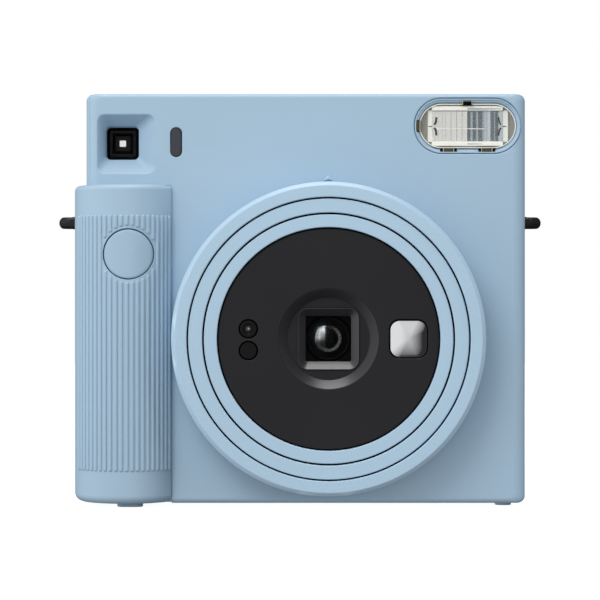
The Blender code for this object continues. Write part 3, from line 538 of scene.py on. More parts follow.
def grip_curve(inset=0.0, steps=26):
    """The grip's outer skin seen from above, from the seam round to the flank."""
    reach, depth = seam_side()
    end = math.asin(1 / SEAM_REACH)
    points = []
    for i in range(steps):
        angle = end * (1 - i / steps)
        x = CREST_X + math.sin(angle) * (reach - inset)
        points.append((x, CREST_Y + depth - math.cos(angle) * (depth - inset)))
    reach, depth = CREST_X - GRIP_LEFT - inset, FLANK_Y - CREST_Y - inset
    for i in range(steps + 1):
        angle = math.radians(90 * i / steps)
        across = math.sin(angle) ** (2 / SKIN_POWER) * reach
        rise = abs(math.cos(angle)) ** (2 / SKIN_POWER) * depth
        points.append((CREST_X - across, FLANK_Y - rise))
    return points


def skin_y(x):
    """How far forward the grip's skin is at x."""
    if x > CREST_X:
        reach, depth = seam_side()
        share = min(1.0, (x - CREST_X) / reach)
        return CREST_Y + depth * (1 - math.sqrt(1 - share ** 2))
    share = min(1.0, (CREST_X - x) / (CREST_X - GRIP_LEFT))
    return FLANK_Y - (FLANK_Y - CREST_Y) * (1 - share ** SKIN_POWER) ** (1 / SKIN_POWER)


def grip_block(inset, low_round, high_round, reach_x, reach_y):
    """The grip's rounded column, with its two ends filleted round the skin."""
    low, high = GRIP_BOTTOM + inset, GRIP_TOP - inset
    ends = [(shrink, low + depth) for shrink, depth in fillet(low_round, 8)]
    ends += [(shrink, high - depth) for shrink, depth in reversed(fillet(high_round, 8))]
    rings = []
    for shrink, z in ends:
        left = GRIP_LEFT + inset + shrink
        outline = grip_curve(inset + shrink)
        outline += [(left, reach_y), (reach_x, reach_y), (reach_x, FRONT + inset)]
        rings.append([(x, y, z) for x, y in outline])
    return loft(rings)


def over_skin(radius, depth, count=96):
    """A ring round the button's axis that follows the grip's skin at a depth below it."""
    return [(x, skin_y(x) + depth, z) for x, z in disc(BUTTON_X, BUTTON_Z, radius, count)()]


def flat_ring(radius, y, count=96):
    """A ring round the button's axis at one depth."""
    return [(x, y, z) for x, z in disc(BUTTON_X, BUTTON_Z, radius, count)()]


def button_hole(radius, lip):
    """The cutter for the button's hole, whose rim follows the skin."""
    rings = [over_skin(radius + 0.75 * lip, -2.0)]
    rings += [over_skin(radius + inset, depth) for inset, depth in fillet(lip, 4, 15)]
    return loft(rings + [flat_ring(radius, -20.0)])


def make_grip():
    """The hollow grip, with its ribs and the shutter button."""
    cover = grip_block(0.0, GRIP_BOTTOM_ROUND, GRIP_TOP_ROUND, GRIP_SEAM, GRIP_BACK)
    inner = grip_block(WALL, 0.5, 0.5, GRIP_SEAM + 5, GRIP_BACK + 5)
    cut(cover, inner, button_hole(BUTTON_RADIUS + 0.25, 0.3), strap_hole(-1))
    cut(cover, foot_socket("foot_front_left"))
    piece(cover, "grip_cover_shell", "grip_cover", sharp=35)
    make_ribs()
    make_button()


def rib_places():
    """(point, outward direction) of each rib, one pitch apart along the skin."""
    curve = [Vector(p) for p in grip_curve(0.0, 260)]
    places, travelled = [], RIB_PITCH
    for a, b in zip(curve, curve[1:]):
        if not RIB_LEFT < a.x < RIB_RIGHT:
            continue
        travelled += (b - a).length
        if travelled >= RIB_PITCH:
            along = (b - a).normalized()
            places.append((a, Vector((-along.y, along.x))))
            travelled = 0.0
    return places


def rib_shell(point, outward, low, high):
    """A round-backed rib from low to high whose ends are domed."""
    across = Vector((-outward.y, outward.x))
    turns = [math.radians(a) for a in (12, 30, 50, 70, 90)]
    ends = [(math.sin(a), low + RIB_END * (1 - math.cos(a))) for a in turns]
    ends += [(share, low + high - z) for share, z in reversed(ends)]
    rings = []
    for share, z in ends:
        ring = []
        for k in range(11):
            side = math.cos(math.pi * k / 10)
            rise = RIB_HEIGHT * math.sin(math.pi * k / 10) * share
            foot = point + across * side * RIB_WIDTH / 2 * share + outward * rise
            ring.append((foot.x, foot.y, z))
        for side in (-0.8, 0.8):
            foot = point + across * side * RIB_WIDTH / 2 * share - outward * 0.3
            ring.append((foot.x, foot.y, z))
        rings.append(ring)
    return skin(rings)


def make_ribs():
    """The upright ribs, which stop short of the button."""
    shells = []
    for point, outward in rib_places():
        away = abs(point.x - BUTTON_X)
        if away >= RIB_CLEARANCE:
            shells.append(rib_shell(point, outward, RIB_LOW, RIB_HIGH))
            continue
        reach = math.sqrt(RIB_CLEARANCE ** 2 - away ** 2)
        shells.append(rib_shell(point, outward, RIB_LOW, BUTTON_Z - reach))
        shells.append(rib_shell(point, outward, BUTTON_Z + reach, RIB_HIGH))
    trim(solid(*shells), "grip_ribs", "grip_cover", sharp=60)


def make_button():
    """A round cap that follows the grip's skin, and its stem."""
    face = [over_skin(BUTTON_RADIUS * share, 0.1) for share in (0.08, 0.3, 0.5, 0.7, 0.85)]
    edge = [over_skin(BUTTON_RADIUS - inset, 0.1 + depth) for inset, depth in fillet(0.55, 6)]
    button = loft(face + edge + [flat_ring(BUTTON_RADIUS, -22.4)])
    stem = pad(disc(BUTTON_X, BUTTON_Z, 2.2, 32), "Y", -22.8, -19.2, 0, 0.3)
    join(button, stem)
    piece(button, "shutter_button_cap", "shutter_button", sharp=40)


# --------------------------------------------------------------- body shells

def strap_hole(sign):
    """The passage through a side wall for a strap lug's neck."""
    low, high = span("strap_lug_right")
    edge = GRIP_LEFT if sign < 0 else RIGHT
    outline = panel((low[1] + high[1]) / 2, (low[2] + high[2]) / 2, 7.6, 4.2, 0.6)
    return pad(outline, "X", edge - 4, edge + 4)


def foot_outline(name, room=0.0):
    """A foot's outline seen from below, with room to spare round it."""
    x, y, _ = middle(name)
    width, depth, _ = extent(name)
    return panel(x, y, width + 2 * room, depth + 2 * room, 2.0)


def foot_socket(name):
    """The cutter for a foot's seat."""
    return pad(foot_outline(name, GAP), "Z", -1.0, span(name)[1][2] + GAP)


def finder_recess():
    """The cutter for the viewfinder's funnel and its soft rim."""
    outer = panel(FINDER_X, FINDER_Z, FINDER_W, FINDER_H, 2.0)
    inner = panel(WINDOW_X, WINDOW_Z, WINDOW_SIZE, WINDOW_SIZE, 1.4)
    rim = fillet(0.7, 5, 15)
    steps = [(rim[0][0], FRONT - 1.0)] + [(inset, FRONT + depth) for inset, depth in rim[:5]]
    rings = levels(outer, "Y", steps)
    rings += levels(inner, "Y", [(0.0, FINDER_NECK), (0.0, FINDER_BACK)])
    return loft(rings)


def make_front_cover():
    """The front shell, open to the back and round the grip."""
    cover = rounded_block(
        LEFT, RIGHT, BOTTOM, TOP, FRONT, SPLIT, (SIDE_ROUND, TOP_ROUND, BOTTOM_ROUND), CORNER
    )
    inner = rounded_block(
        LEFT + WALL, RIGHT - WALL, BOTTOM + WALL, TOP - WALL,
        FRONT + WALL, SPLIT + 5, (2.2, 0.4, 0.4), 1.0,
    )
    cut(cover, inner)
    boss = pad(block(LEFT + 1, COLUMN_X, 93.6, TOP - 1, 0.5), "Y", FRONT + 1, FINDER_BACK + 1.6)
    join(cover, boss)
    clear = WINDOW_SIZE - 0.3
    window = pad(panel(WINDOW_X, WINDOW_Z, clear, clear, 1.2), "Y", FINDER_NECK, -7)
    flash = bore(pill(FLASH_X, FLASH_Z, FLASH_W + 0.36, FLASH_H + 0.36), "Y", FRONT, -12, 0.45)
    x, _, z = middle("flash_sensor_window")
    width, _, height = extent("flash_sensor_window")
    sensor = bore(pill(x, z, width - 0.1, height - 0.15), "Y", FRONT, -14, 0.3)
    lens = bore(disc(AXIS_X, AXIS_Z, DIAL_NECK, ROUND), "Y", FRONT, FRONT + WALL + 1, 0.2)
    grip_bay = pad(
        block(LEFT - 9, GRIP_SEAM + 0.02, BOTTOM - 9, GRIP_TOP + 0.1, 0.3), "Y", FRONT - 9, SPLIT + 9
    )
    cut(cover, finder_recess(), window, flash, sensor, lens, grip_bay, strap_hole(1))
    cut(cover, foot_socket("foot_front_right"))
    piece(cover, "front_cover_shell", "front_cover")
    make_seam_lips()
    make_index_mark()


def make_seam_lips():
    """Thin tongues inside the walls that carry the front's joint over to the rear cover."""
    back, front = SPLIT + 1.4, SPLIT - 1.4
    profile = [(-0.05, front), (-0.05, back), (-0.75, back), (-0.75, front)]
    for name, node, inside, gap in (
        ("seam_lip", "front_cover",
         block(LEFT + WALL, RIGHT - WALL, BOTTOM + WALL, TOP - WALL, 1.0),
         block(LEFT - 5, GRIP_SEAM + 1, BOTTOM - 5, GRIP_TOP + 1, 0.3)),
        ("grip_seam_lip", "grip_cover",
         block(GRIP_LEFT + WALL, COLUMN_X - WALL, GRIP_BOTTOM + WALL, GRIP_TOP - WALL, 0.8),
         block(COLUMN_X - 3.5, GRIP_SEAM + 9, BOTTOM - 5, GRIP_TOP + 5, 0.3)),
    ):
        lip = cut(swept(inside, "Y", profile), pad(gap, "Y", SPLIT - 5, SPLIT + 5))
        trim(lip, name, node, material=MATT_BLACK)


def make_index_mark():
    """A low three-sided mark on the cover over the dial."""
    base = AXIS_Z + DIAL_RADIUS + 0.75
    rings = []
    for share, y in ((1.0, FRONT + 0.1), (1.0, FRONT - 0.12), (0.12, FRONT - 0.75)):
        corners = ((-1.35, 0.0), (1.35, 0.0), (0.0, 1.9))
        rings.append([(AXIS_X + u * share, y, base + 0.5 + (v - 0.5) * share) for u, v in corners])
    trim(loft(rings), "index_mark", "front_cover", sharp=20)


def opening_block(inset, radius):
    """The outline of the film door's opening, drawn in by inset."""
    left, right, low, high = OPENING
    return block(left + inset, right - inset, low + inset, high - inset, radius)


def make_rear_cover():
    """The rear shell, with the openings for the door, the film and the small parts."""
    start = SPLIT + GAP
    cover = rounded_block(
        LEFT, RIGHT, BOTTOM, TOP, REAR, start, (REAR_ROUND, 1.6, 1.7), CORNER
    )
    side = rounded_block(
        GRIP_LEFT, COLUMN_X, GRIP_BOTTOM, GRIP_TOP, REAR, start, (2.0, 1.6, 1.3), 1.6
    )
    inner = rounded_block(
        LEFT + WALL, RIGHT - WALL, BOTTOM + WALL, TOP - WALL,
        REAR - WALL, start - 5, (1.2, 0.4, 0.4), 1.0,
    )
    inner_side = rounded_block(
        GRIP_LEFT + WALL, COLUMN_X - WALL, GRIP_BOTTOM + WALL, GRIP_TOP - WALL,
        REAR - WALL, start - 5, (0.8, 0.4, 0.4), 0.8,
    )
    cut(join(cover, side), join(inner, inner_side))
    opening = pad(opening_block(0.0, 1.0), "Y", REAR - 4, REAR + 2)
    slot = bore(block(*FILM_SLOT, 1.2), "Z", TOP, TOP - 4, 0.5)
    notch = pad(block(57.9, 62.3, REAR - 1.3, REAR + 4, 0.2), "Z", HINGE_LOW, HINGE_HIGH)
    x, _, z = middle("eyepiece_surround")
    size = extent("eyepiece_surround")[0] + 2 * GAP
    eyepiece = bore(panel(x, z, size, size, 2.1), "Y", REAR, REAR - 4, 0.4)
    x, _, z = middle("counter_window")
    counter = bore(disc(x, z, 3.3), "Y", REAR, REAR - 4, 0.5)
    track = bore(block(-45.4, -39.6, 40.0, 61.0, 1.4), "Y", REAR, REAR - 0.9, 0.3)
    low, high = span("battery_door")
    bay = pad(
        block(low[1] - 0.4, high[1] + 0.3, low[2] + 1.5, high[2] - 1.5, 0.4),
        "X", GRIP_LEFT - 1, GRIP_LEFT + WALL + 1,
    )
    cut(cover, opening, slot, notch, eyepiece, counter, track, bay, foot_socket("foot_rear"))
    for screw in ("case_screw_1", "case_screw_2"):
        x, _, z = middle(screw)
        cut(cover, bore(disc(x, z, 2.5, 40), "Y", REAR, REAR - 1.0, 0.3))
        cut(cover, pad(disc(x, z, 1.3, 24), "Y", REAR - 4, REAR + 2))
    pin_x, pin_y, _ = middle("door_hinge_pin")
    for low, high in ((HINGE_LOW - HINGE_END, HINGE_LOW), (HINGE_HIGH, HINGE_HIGH + HINGE_END)):
        knuckle = pad(disc(pin_x, pin_y, 1.8, 40), "Z", low, high, 0.25, 0.25)
        join(cover, knuckle)
        cut(cover, pad(disc(pin_x, pin_y, 0.95, 24), "Z", low - 1, high + 1))
    piece(cover, "rear_cover_shell", "rear_cover")
    make_slot_lips()


def make_slot_lips():
    """Two soft dark strips inside the film exit slot, which keep light out."""
    left, right, front, back = FILM_SLOT
    for name, y in (("slot_seal_front", front + 0.6), ("slot_seal_rear", back - 0.6)):
        outline = block(left + 0.4, right - 0.4, y - 0.45, y + 0.45, 0.3)
        strip = pad(outline, "Z", TOP - 3.4, TOP - 0.9, 0.2, 0.3)
        trim(strip, name, "rear_cover", slot="rubber")


# ---------------------------------------------------------------- lens group

def make_rings():
    """The dial, its guide tube, the two barrels, and the dark seals in the gaps between them."""
    edge = 0.3
    dial = [
        (40.2, DIAL_FRONT, edge), (40.2, -26.2, 0.1),
        (DIAL_NECK, -26.2, 0.1), (DIAL_NECK, FRONT - GAP, 0.1),
        (DIAL_RADIUS, FRONT - GAP, 0.25), (DIAL_RADIUS, DIAL_FRONT + DIAL_BEVEL, 0.5),
        (DIAL_RADIUS - DIAL_BEVEL, DIAL_FRONT, 0.5),
    ]
    piece(on_axis(dial, ROUND, 6), "mode_dial_ring", "mode_dial")
    housing = [
        (39.95, -25.8, 0.2), (39.95, -4.0, 0), (43.5, -4.0, 0.2), (43.5, -6.0, 0.2),
        (41.65, -6.0, 0), (41.65, -25.8, 0.2),
    ]
    piece(on_axis(housing, 128), "lens_housing_tube", "lens_housing")
    for name, node, inner, outer, front, lip_back, tube in (
        ("outer_barrel", "lens_barrel_outer", 35.8, 39.75, -28.3, -26.8, 37.9),
        ("inner_barrel", "lens_barrel_inner", 31.65, 35.3, -28.0, -25.2, 33.4),
    ):
        corners = [
            (inner, front, edge), (inner, lip_back, 0.1), (tube, lip_back, 0.1), (tube, -8.0, 0.1),
            (outer, -8.0, 0.2), (outer, front, edge),
        ]
        piece(on_axis(corners), name, node)
    for name, node, inner, outer, front in (
        ("dial_seal", "mode_dial", 39.8, 40.17, -27.3),
        ("barrel_seal_outer", "lens_barrel_outer", 35.35, 35.77, -27.3),
        ("barrel_seal_inner", "lens_barrel_inner", 31.25, 31.62, -26.6),
    ):
        back = front + 0.6
        seal = [(inner, front, 0.1), (inner, back, 0), (outer, back, 0), (outer, front, 0.1)]
        trim(on_axis(seal, 128, 2), name, node, material=MATT_BLACK, slot="black_plastic")
    carrier = [(16.0, -25.0, 0.1), (16.0, -23.7, 0.1), (33.6, -23.7, 0.1), (33.6, -25.0, 0.1)]
    trim(
        on_axis(carrier, 128), "lens_carrier", "lens_barrel_inner", material=MATT_BLACK,
        slot="black_plastic",
    )


def make_faceplate():
    """The black disc, with a round recess before the hood and holes for mirror and sensors."""
    front = FACE_FRONT
    plate = swept(disc(AXIS_X, AXIS_Z, 0.0, ROUND), "Y", eased([
        (11.85, front + 2.7, 0.1), (14.35, front, 0.1), (FACE_EDGE, front, 0.3),
        (FACE_EDGE, front + 1.8, 0.1), (15.4, front + 1.8, 0.1), (13.4, front + 3.7, 0.1),
        (6.0, front + 3.7, 0.0), (6.0, front + 2.6, 0.0),
    ]))
    half = HOOD_SIZE / 2 + 0.1
    opening = bore(panel(AXIS_X, AXIS_Z, 2 * half, 2 * half, 3.2), "Y", front + 2.6, -20, 0.15)
    mirror = bore(panel(MIRROR_X, MIRROR_Z, 11.1, 11.1, 3.0, 12), "Y", front, -20, 0.25)
    cut(plate, opening, mirror)
    for level in ("upper", "lower"):
        x, _, z = middle(f"light_sensor_window_{level}")
        cut(plate, bore(disc(x, z, 2.75, 48), "Y", front, -20, 0.2))
    piece(plate, "faceplate_disc", "lens_faceplate")
    cone = [
        (11.75, front + 2.52, 0.05), (14.2, front + 0.05, 0.05),
        (14.2, front + 0.2, 0), (11.75, front + 2.7, 0),
    ]
    trim(on_axis(cone, ROUND, 2), "recess_cone", "lens_faceplate", material=HOOD_BLACK)


def make_hood():
    """The square funnel round the lens."""
    back, throat = -22.9, HOOD_THROAT / 2
    outer = panel(AXIS_X, AXIS_Z, HOOD_SIZE, HOOD_SIZE, 3.0, 10)
    hood = pad(outer, "Y", -25.0, back, 0.15, 0)
    mouth = panel(AXIS_X, AXIS_Z, HOOD_SIZE - 0.7, HOOD_SIZE - 0.7, 2.6, 10)
    hole = panel(AXIS_X, AXIS_Z, 2 * throat, 2 * throat, 0.7, 10)
    throat_rim = [(0.45, back - 0.75), (0.35, back - 0.45), (0.0, back - 0.2), (0.0, back + 1)]
    funnel = loft(
        levels(mouth, "Y", [(0.22, -26.0), (0.16, -24.98), (0.0, -24.85)])
        + levels(hole, "Y", throat_rim)
    )
    piece(cut(hood, funnel), "hood_funnel", "lens_hood_frame", material=HOOD_BLACK)


def make_glass():
    """The cell, its stop plate and baffles, and the two lens elements."""
    r = LENS_RADIUS
    cell = [
        (r + 0.3, -22.5, 0.1), (r + 0.3, -12.4, 0.1), (r + 1.6, -12.4, 0.1), (r + 1.6, -21.0, 0.1),
        (21.9, -21.0, 0.1), (21.9, -22.5, 0.1),
    ]
    piece(on_axis(cell, 96), "cell_tube", "lens_cell", material=MATT_BLACK)
    plate = [(3.0, -17.9, 0.0), (3.0, -17.7, 0.0), (r + 0.25, -17.7, 0.0), (r + 0.25, -17.9, 0.0)]
    trim(on_axis(plate, 96, 2), "stop_plate", "lens_cell", material=MATT_BLACK)
    slope = 0.47
    for name, inner, outer, y, material in (
        ("baffle_outer", 5.7, 5.9, -18.7, FINISHES["black_plastic"]),
        ("baffle_inner", 2.9, 3.75, -18.9, RING_STEEL),
    ):
        ring = [
            (inner, y + slope * (outer - inner), 0.0), (outer, y, 0.0), (outer + 0.1, y + 0.1, 0.0),
            (inner + 0.1, y + slope * (outer - inner) + 0.1, 0.0),
        ]
        trim(on_axis(ring, 96, 2), name, "lens_cell", material=material)
    for name, node, crown, rim, far in (
        ("front_glass", "lens_element_front", -23.2, -21.2, -19.2),
        ("rear_glass", "lens_element_rear", -15.6, -14.6, -13.2),
    ):
        bulge = [
            (r * math.sin(a), rim - (rim - crown) * math.cos(a))
            for a in [math.radians(90 * i / 12) for i in range(1, 13)]
        ]
        dished = [(r * share, far) for share in (1.0, 0.1)]
        glass = loft(levels(disc(AXIS_X, AXIS_Z, 0.0, 96), "Y", bulge + dished))
        piece(glass, name, node, sharp=50)


def make_mirror():
    """The domed mirror, in a thin recessed rim."""
    x, z = MIRROR_X, MIRROR_Z
    width, _, height = extent("selfie_mirror")
    outline = panel(x, z, width, height + 0.2, 2.8, 12)
    crown = span("selfie_mirror")[0][1]
    steps = [(1.0, 1.9), (1.0, 1.15), (0.985, 1.02), (0.96, 0.96)]
    steps += [(0.945 * (1 - k / 13), 0.9 * (1 - k / 13) ** 2) for k in range(1, 13)]
    rings = []
    for share, depth in steps:
        ring = [(x + (u - x) * share, crown + depth, z + (v - z) * share) for u, v in outline()]
        rings.append(ring)
    piece(loft(rings), "mirror_dome", "selfie_mirror", sharp=50)


def make_sensors():
    """The two round windows. The upper one has a dished face with a sensor behind it, which carries
    a small painted glint.
    """
    for level, extra in (("upper", True), ("lower", False)):
        node = f"light_sensor_window_{level}"
        x, _, z = middle(node)
        front = span(node)[0][1]
        window = pad(disc(x, z, 2.5, 48), "Y", front, front + 1.4, 0.3, 0)
        if extra:
            cut(window, bore(disc(x, z, 1.35, 40), "Y", front, front + 0.5, 0.3))
        piece(window, f"sensor_pane_{level}", node)
        if extra:
            eye = pad(disc(x, z, 0.8, 32), "Y", front + 0.15, front + 0.6, 0.3, 0)
            trim(eye, "sensor_eye", node, material=HOOD_BLACK)
            # A small amber dot on the eye: a painted glint
            glint = pad(disc(x + 0.1, z + 0.05, 0.22, 16), "Y", front + 0.1, front + 0.3, 0.05, 0)
            trim(glint, "sensor_painted_glint", node, material=TAB_EDGE)


def make_shutter():
    """The shutter's plate, with the pivots of its two blades."""
    unit = pad(panel(AXIS_X, AXIS_Z, 34.0, 34.0, 4.0), "Y", -12.0, -9.2, 0.3, 0.3)
    cut(unit, pad(disc(AXIS_X, AXIS_Z, 5.0, 64), "Y", -14, -7))
    for side in (-1, 1):
        join(unit, pad(disc(AXIS_X + side * 8, AXIS_Z - 9, 0.7, 24), "Y", -10.0, -7.0, 0, 0.1))
    piece(unit, "shutter_plate", "shutter_unit")


# --------------------------------------------------------- viewfinder, flash

def sight(y):
    """Where the line of sight through the finder's window is at depth y."""
    run = (y - FINDER_BACK) / (VIEW_DISTANCE + FINDER_BACK - FRONT)
    return WINDOW_X + WINDOW_X * run, WINDOW_Z + (WINDOW_Z - VIEW_HEIGHT) * run


def make_viewfinder():
    """The smoked front pane, and the tube with its square stops."""
    low, high = span("viewfinder_objective")
    width = high[0] - low[0]
    pane = pad(panel(WINDOW_X, WINDOW_Z, width, width, 0.9), "Y", low[1], high[1], 0.2, 0.1)
    piece(pane, "finder_pane", "viewfinder_objective", material=SMOKED)
    tube = loft(
        levels(panel(WINDOW_X, WINDOW_Z, 13.4, 13.4, 1.5), "Y", [(0, -8.0)])
        + levels(panel(FINDER_X, FINDER_Z, 13.8, 13.8, 1.5), "Y", [(0, 23.4)])
    )
    hollow = loft(
        levels(panel(WINDOW_X, WINDOW_Z, 9.0, 9.0, 1.0), "Y", [(0, -8.6)])
        + levels(panel(FINDER_X, FINDER_Z, 11.4, 11.4, 1.0), "Y", [(0, 24.0)])
    )
    piece(cut(tube, hollow), "finder_tube", "viewfinder_tube", material=MATT_BLACK)
    for i, (size, y) in enumerate(((7.6, -7.3), (6.0, -6.4), (4.4, -5.5), (1.85, -4.6))):
        x, z = sight(y)
        reach = 4.75 - size / 2
        profile = [(0.0, y), (0.12, y + 0.3), (0.0, y + 0.5), (reach, y + 0.5), (reach, y)]
        stop = swept(panel(x, z, size, size, 0.25), "Y", profile)
        trim(stop, f"finder_stop_{i + 1}", "viewfinder_tube",
             material=(MATT_BLACK, FINISHES["dark_window"])[i % 2])
    make_eyepiece()
    make_pill()


def make_eyepiece():
    """The cup and lens at the back of the viewfinder."""
    (x0, y0, _), (x1, y1, _) = span("eyepiece_surround")
    x, _, z = middle("eyepiece_surround")
    corners = [
        (0.0, y0, 0.2), (0.0, y1, 1.1), (-1.9, y1, 0.5), (-2.25, REAR + 1.2, 0.2), (-2.25, y0, 0.2)
    ]
    surround = swept(panel(x, z, x1 - x0, x1 - x0, 2.3, 12), "Y", eased(corners, 6))
    piece(surround, "eyepiece_cup", "eyepiece_surround")
    low, high = span("eyepiece_lens")
    lens = pad(panel(x, z, 10.0, 10.0, 1.0), "Y", low[1], high[1], 0.1, 0.5)
    piece(lens, "eyepiece_glass", "eyepiece_lens", material=FINISHES["clear_plastic"])


def make_pill():
    """The dark window of the flash's sensor."""
    x, _, z = middle("flash_sensor_window")
    width, depth, height = extent("flash_sensor_window")
    front = span("flash_sensor_window")[0][1]
    window = pad(pill(x, z, width - 0.3, height - 0.35), "Y", front, front + depth, 0.35, 0)
    piece(window, "sensor_pill", "flash_sensor_window", material=PILL_GREY)


def make_flash():
    """The stepped surround, and everything behind its clear pane."""
    outline = pill(FLASH_X, FLASH_Z, FLASH_W, FLASH_H, 24)
    inner = (PANE_W - FLASH_W) / 2 + 0.1
    bezel = swept(outline, "Y", eased([
        (0.0, FRONT, 0.2), (-0.35, FRONT + 0.1, 0.05), (-0.5, FRONT + 0.45, 0.05),
        (-0.95, FRONT + 0.6, 0.05), (-1.05, FRONT + 0.95, 0.05), (inner, FRONT + 1.5, 0.1),
        (inner, -14.6, 0.1), (0.28, -14.6, 0.1), (0.28, FRONT + 1.1, 0.0), (0.0, FRONT + 1.1, 0.0),
    ]))
    piece(bezel, "flash_surround", "flash_bezel")
    window = pill(FLASH_X, FLASH_Z, PANE_W, PANE_H, 24)
    piece(pad(window, "Y", FRONT + 0.55, FRONT + 1.4, 0.3, 0.1), "flash_pane", "flash_window")
    backing = pad(window, "Y", -14.55, -14.25)
    trim(backing, "flash_backing", "flash_reflector", material=WARM_GREY, slot="white_plastic")
    edge = swept(window, "Y", eased([
        (0.02, FRONT + 0.75, 0.05), (-0.22, FRONT + 0.75, 0.05), (-0.22, FRONT + 0.5, 0.05),
        (0.02, FRONT + 0.5, 0.05),
    ], 2))
    trim(edge, "flash_pane_edge", "flash_window", material=WARM_WHITE, slot="clear_plastic")
    make_flash_tabs()
    make_reflector()
    make_flash_tube()


def flash_detail(outline, low, high, name, material, edge=0.05):
    """A small part seen through the flash window."""
    trim(pad(outline, "Y", low, high, edge, 0), name, "flash_window", material=material,
         slot="dark_window")


def make_flash_tabs():
    """The clips of the window that show through notches in the surround."""
    top, bottom = FLASH_Z + FLASH_H / 2, FLASH_Z - FLASH_H / 2
    left = FLASH_X - FLASH_W / 2
    for name, x, z, width, height, lift, face, reach, material in (
        ("top", FLASH_X - 0.1, top - 1.0, 3.0, 1.7, 0.5, (2.6, 0.7, 0.05), 1.35, TAB_GREY),
        ("left", left + 0.95, FLASH_Z, 1.5, 3.4, 0, (1.1, 2.9, 0.3), 0.6, TAB_OLIVE),
        ("bottom_left", FLASH_X - 5.5, bottom + 0.8, 4.8, 1.4, 0, (2.6, 1.3, 0.05), 1.5, TAB_OLIVE),
        ("bottom_right", FLASH_X + 5.5, bottom + 0.8, 4.8, 1.4, 0, (2.6, 1.3, 0.05), 1.5, TAB_OLIVE),
    ):
        notch = panel(x, z, width, height, 0.12)
        flash_detail(notch, FRONT + 0.25, FRONT + 1.5, f"flash_notch_{name}", MATT_BLACK)
        tab = panel(x, z + lift, *face)
        flash_detail(tab, FRONT + 0.15, FRONT + 0.4, f"flash_tab_{name}", material)
        for side in (-1, 1):
            strip = panel(x + side * reach, z, 0.24, height - 0.15, 0.05)
            label = f"flash_tab_edge_{name}_{side + 2}"
            flash_detail(strip, FRONT + 0.13, FRONT + 0.4, label, TAB_EDGE)


def ribbon(path, width):
    """The outline of a strip along a path of (u, v) points."""
    near, far = [], []
    for i, point in enumerate(path):
        along = Vector(path[min(i + 1, len(path) - 1)]) - Vector(path[max(i - 1, 0)])
        side = Vector((-along.y, along.x)).normalized() * width / 2
        near.append(tuple(Vector(point) + side))
        far.append(tuple(Vector(point) - side))
    return lambda grow=0.0: near + far[::-1]


def make_reflector():
    """Upright facets that face apart from the middle, in a pale frame with keyhole slots.

    The right half's darker, bluish metal is painted shade, as are the wedges on the white
    strips. A thin warm white line across the reflector is a painted highlight.
    """
    face, back = -15.2, -14.6
    low, high = FLASH_Z - 4.35, FLASH_Z + 4.3
    # The right half takes the darker, bluish metal: painted shade
    for name, facets, material in (
        ("left", LEFT_FACETS, None), ("right", RIGHT_FACETS, PAINTED_SHADE_METAL),
    ):
        outline = []
        for (start, tilt), (stop, _) in zip(facets, facets[1:]):
            outline += [(start + 0.02, face), (stop - 0.06, face + tilt * (stop - start))]
        outline += [(facets[-1][0], back), (facets[0][0], back)]
        field = loft([[(FLASH_X + u, v, w) for u, v in outline] for w in (low, high)])
        if material:
            trim(field, f"reflector_{name}", "flash_reflector", material=material, sharp=5)
        else:
            piece(field, f"reflector_{name}", "flash_reflector", sharp=5)
    for side in (-1, 1):
        upright = panel(FLASH_X + 0.2 + side * 10.85, FLASH_Z, 1.5, 9.2, 0.4)
        level = panel(FLASH_X, FLASH_Z + side * 5.1, 20.6, 1.4, 0.5)
        for name, outline, front, edge in (
            ("band", upright, -15.5, 0.25), ("strip", level, -16.1, 0.3),
        ):
            trim(pad(outline, "Y", front, back, edge, 0), f"reflector_{name}_{side + 2}",
                 "flash_reflector", material=WARM_WHITE, slot="white_plastic")
        slot = panel(FLASH_X + side * 10.65, FLASH_Z - 0.05, 1.1, 0.26, 0.1)
        flash_detail(slot, -15.56, -15.3, f"reflector_slot_{side + 2}", MATT_BLACK, 0)
        for half in (-1, 1):
            path = [(FLASH_X + side * u, FLASH_Z + half * v) for u, v in KEYHOLE]
            flash_detail(ribbon(path, 0.36), -15.75, -15.45, f"keyhole_{side + 2}_{half + 2}",
                         MATT_BLACK, 0)
    # Wedges of painted shade on the white strips, widest at the middle and narrowing to the right
    for name, v, stop, near, far in (
        ("top", 5.0, 9.6, 0.30, 0.08), ("bottom", -5.1, 4.2, 0.14, 0.05),
    ):
        shade = [
            (FLASH_X, FLASH_Z + v - near), (FLASH_X + stop, FLASH_Z + v - far),
            (FLASH_X + stop, FLASH_Z + v + far), (FLASH_X, FLASH_Z + v + near),
        ]
        flash_detail(lambda grow, points=shade: points, -16.2, -16.0, f"reflector_painted_shade_{name}",
                     PAINTED_SHADE_METAL, 0)
    # A thin warm white line across the reflector: a painted highlight, a bright line of light
    seam = panel(FLASH_X - 2.0, FLASH_Z - 0.75, 13.6, 0.2, 0.05)
    flash_detail(seam, -15.62, -15.5, "reflector_painted_highlight", WARM_WHITE, 0)


def make_flash_tube():
    """The glass tube and its two metal caps."""
    low, high = span("flash_tube")
    _, y, z = middle("flash_tube")
    tube = pad(disc(y, z, 1.2, 32), "X", low[0], high[0], 0.4, 0.4)
    piece(tube, "xenon_tube", "flash_tube")
    for side in (-1, 1):
        end = FLASH_X + side * 11.4
        cap = pad(disc(y, z, 1.35, 32), "X", min(end, end + side), max(end, end + side), 0.2, 0.2)
        trim(cap, f"tube_cap_{side + 2}", "flash_tube", slot="steel")


# ------------------------------------------------------------------ the back

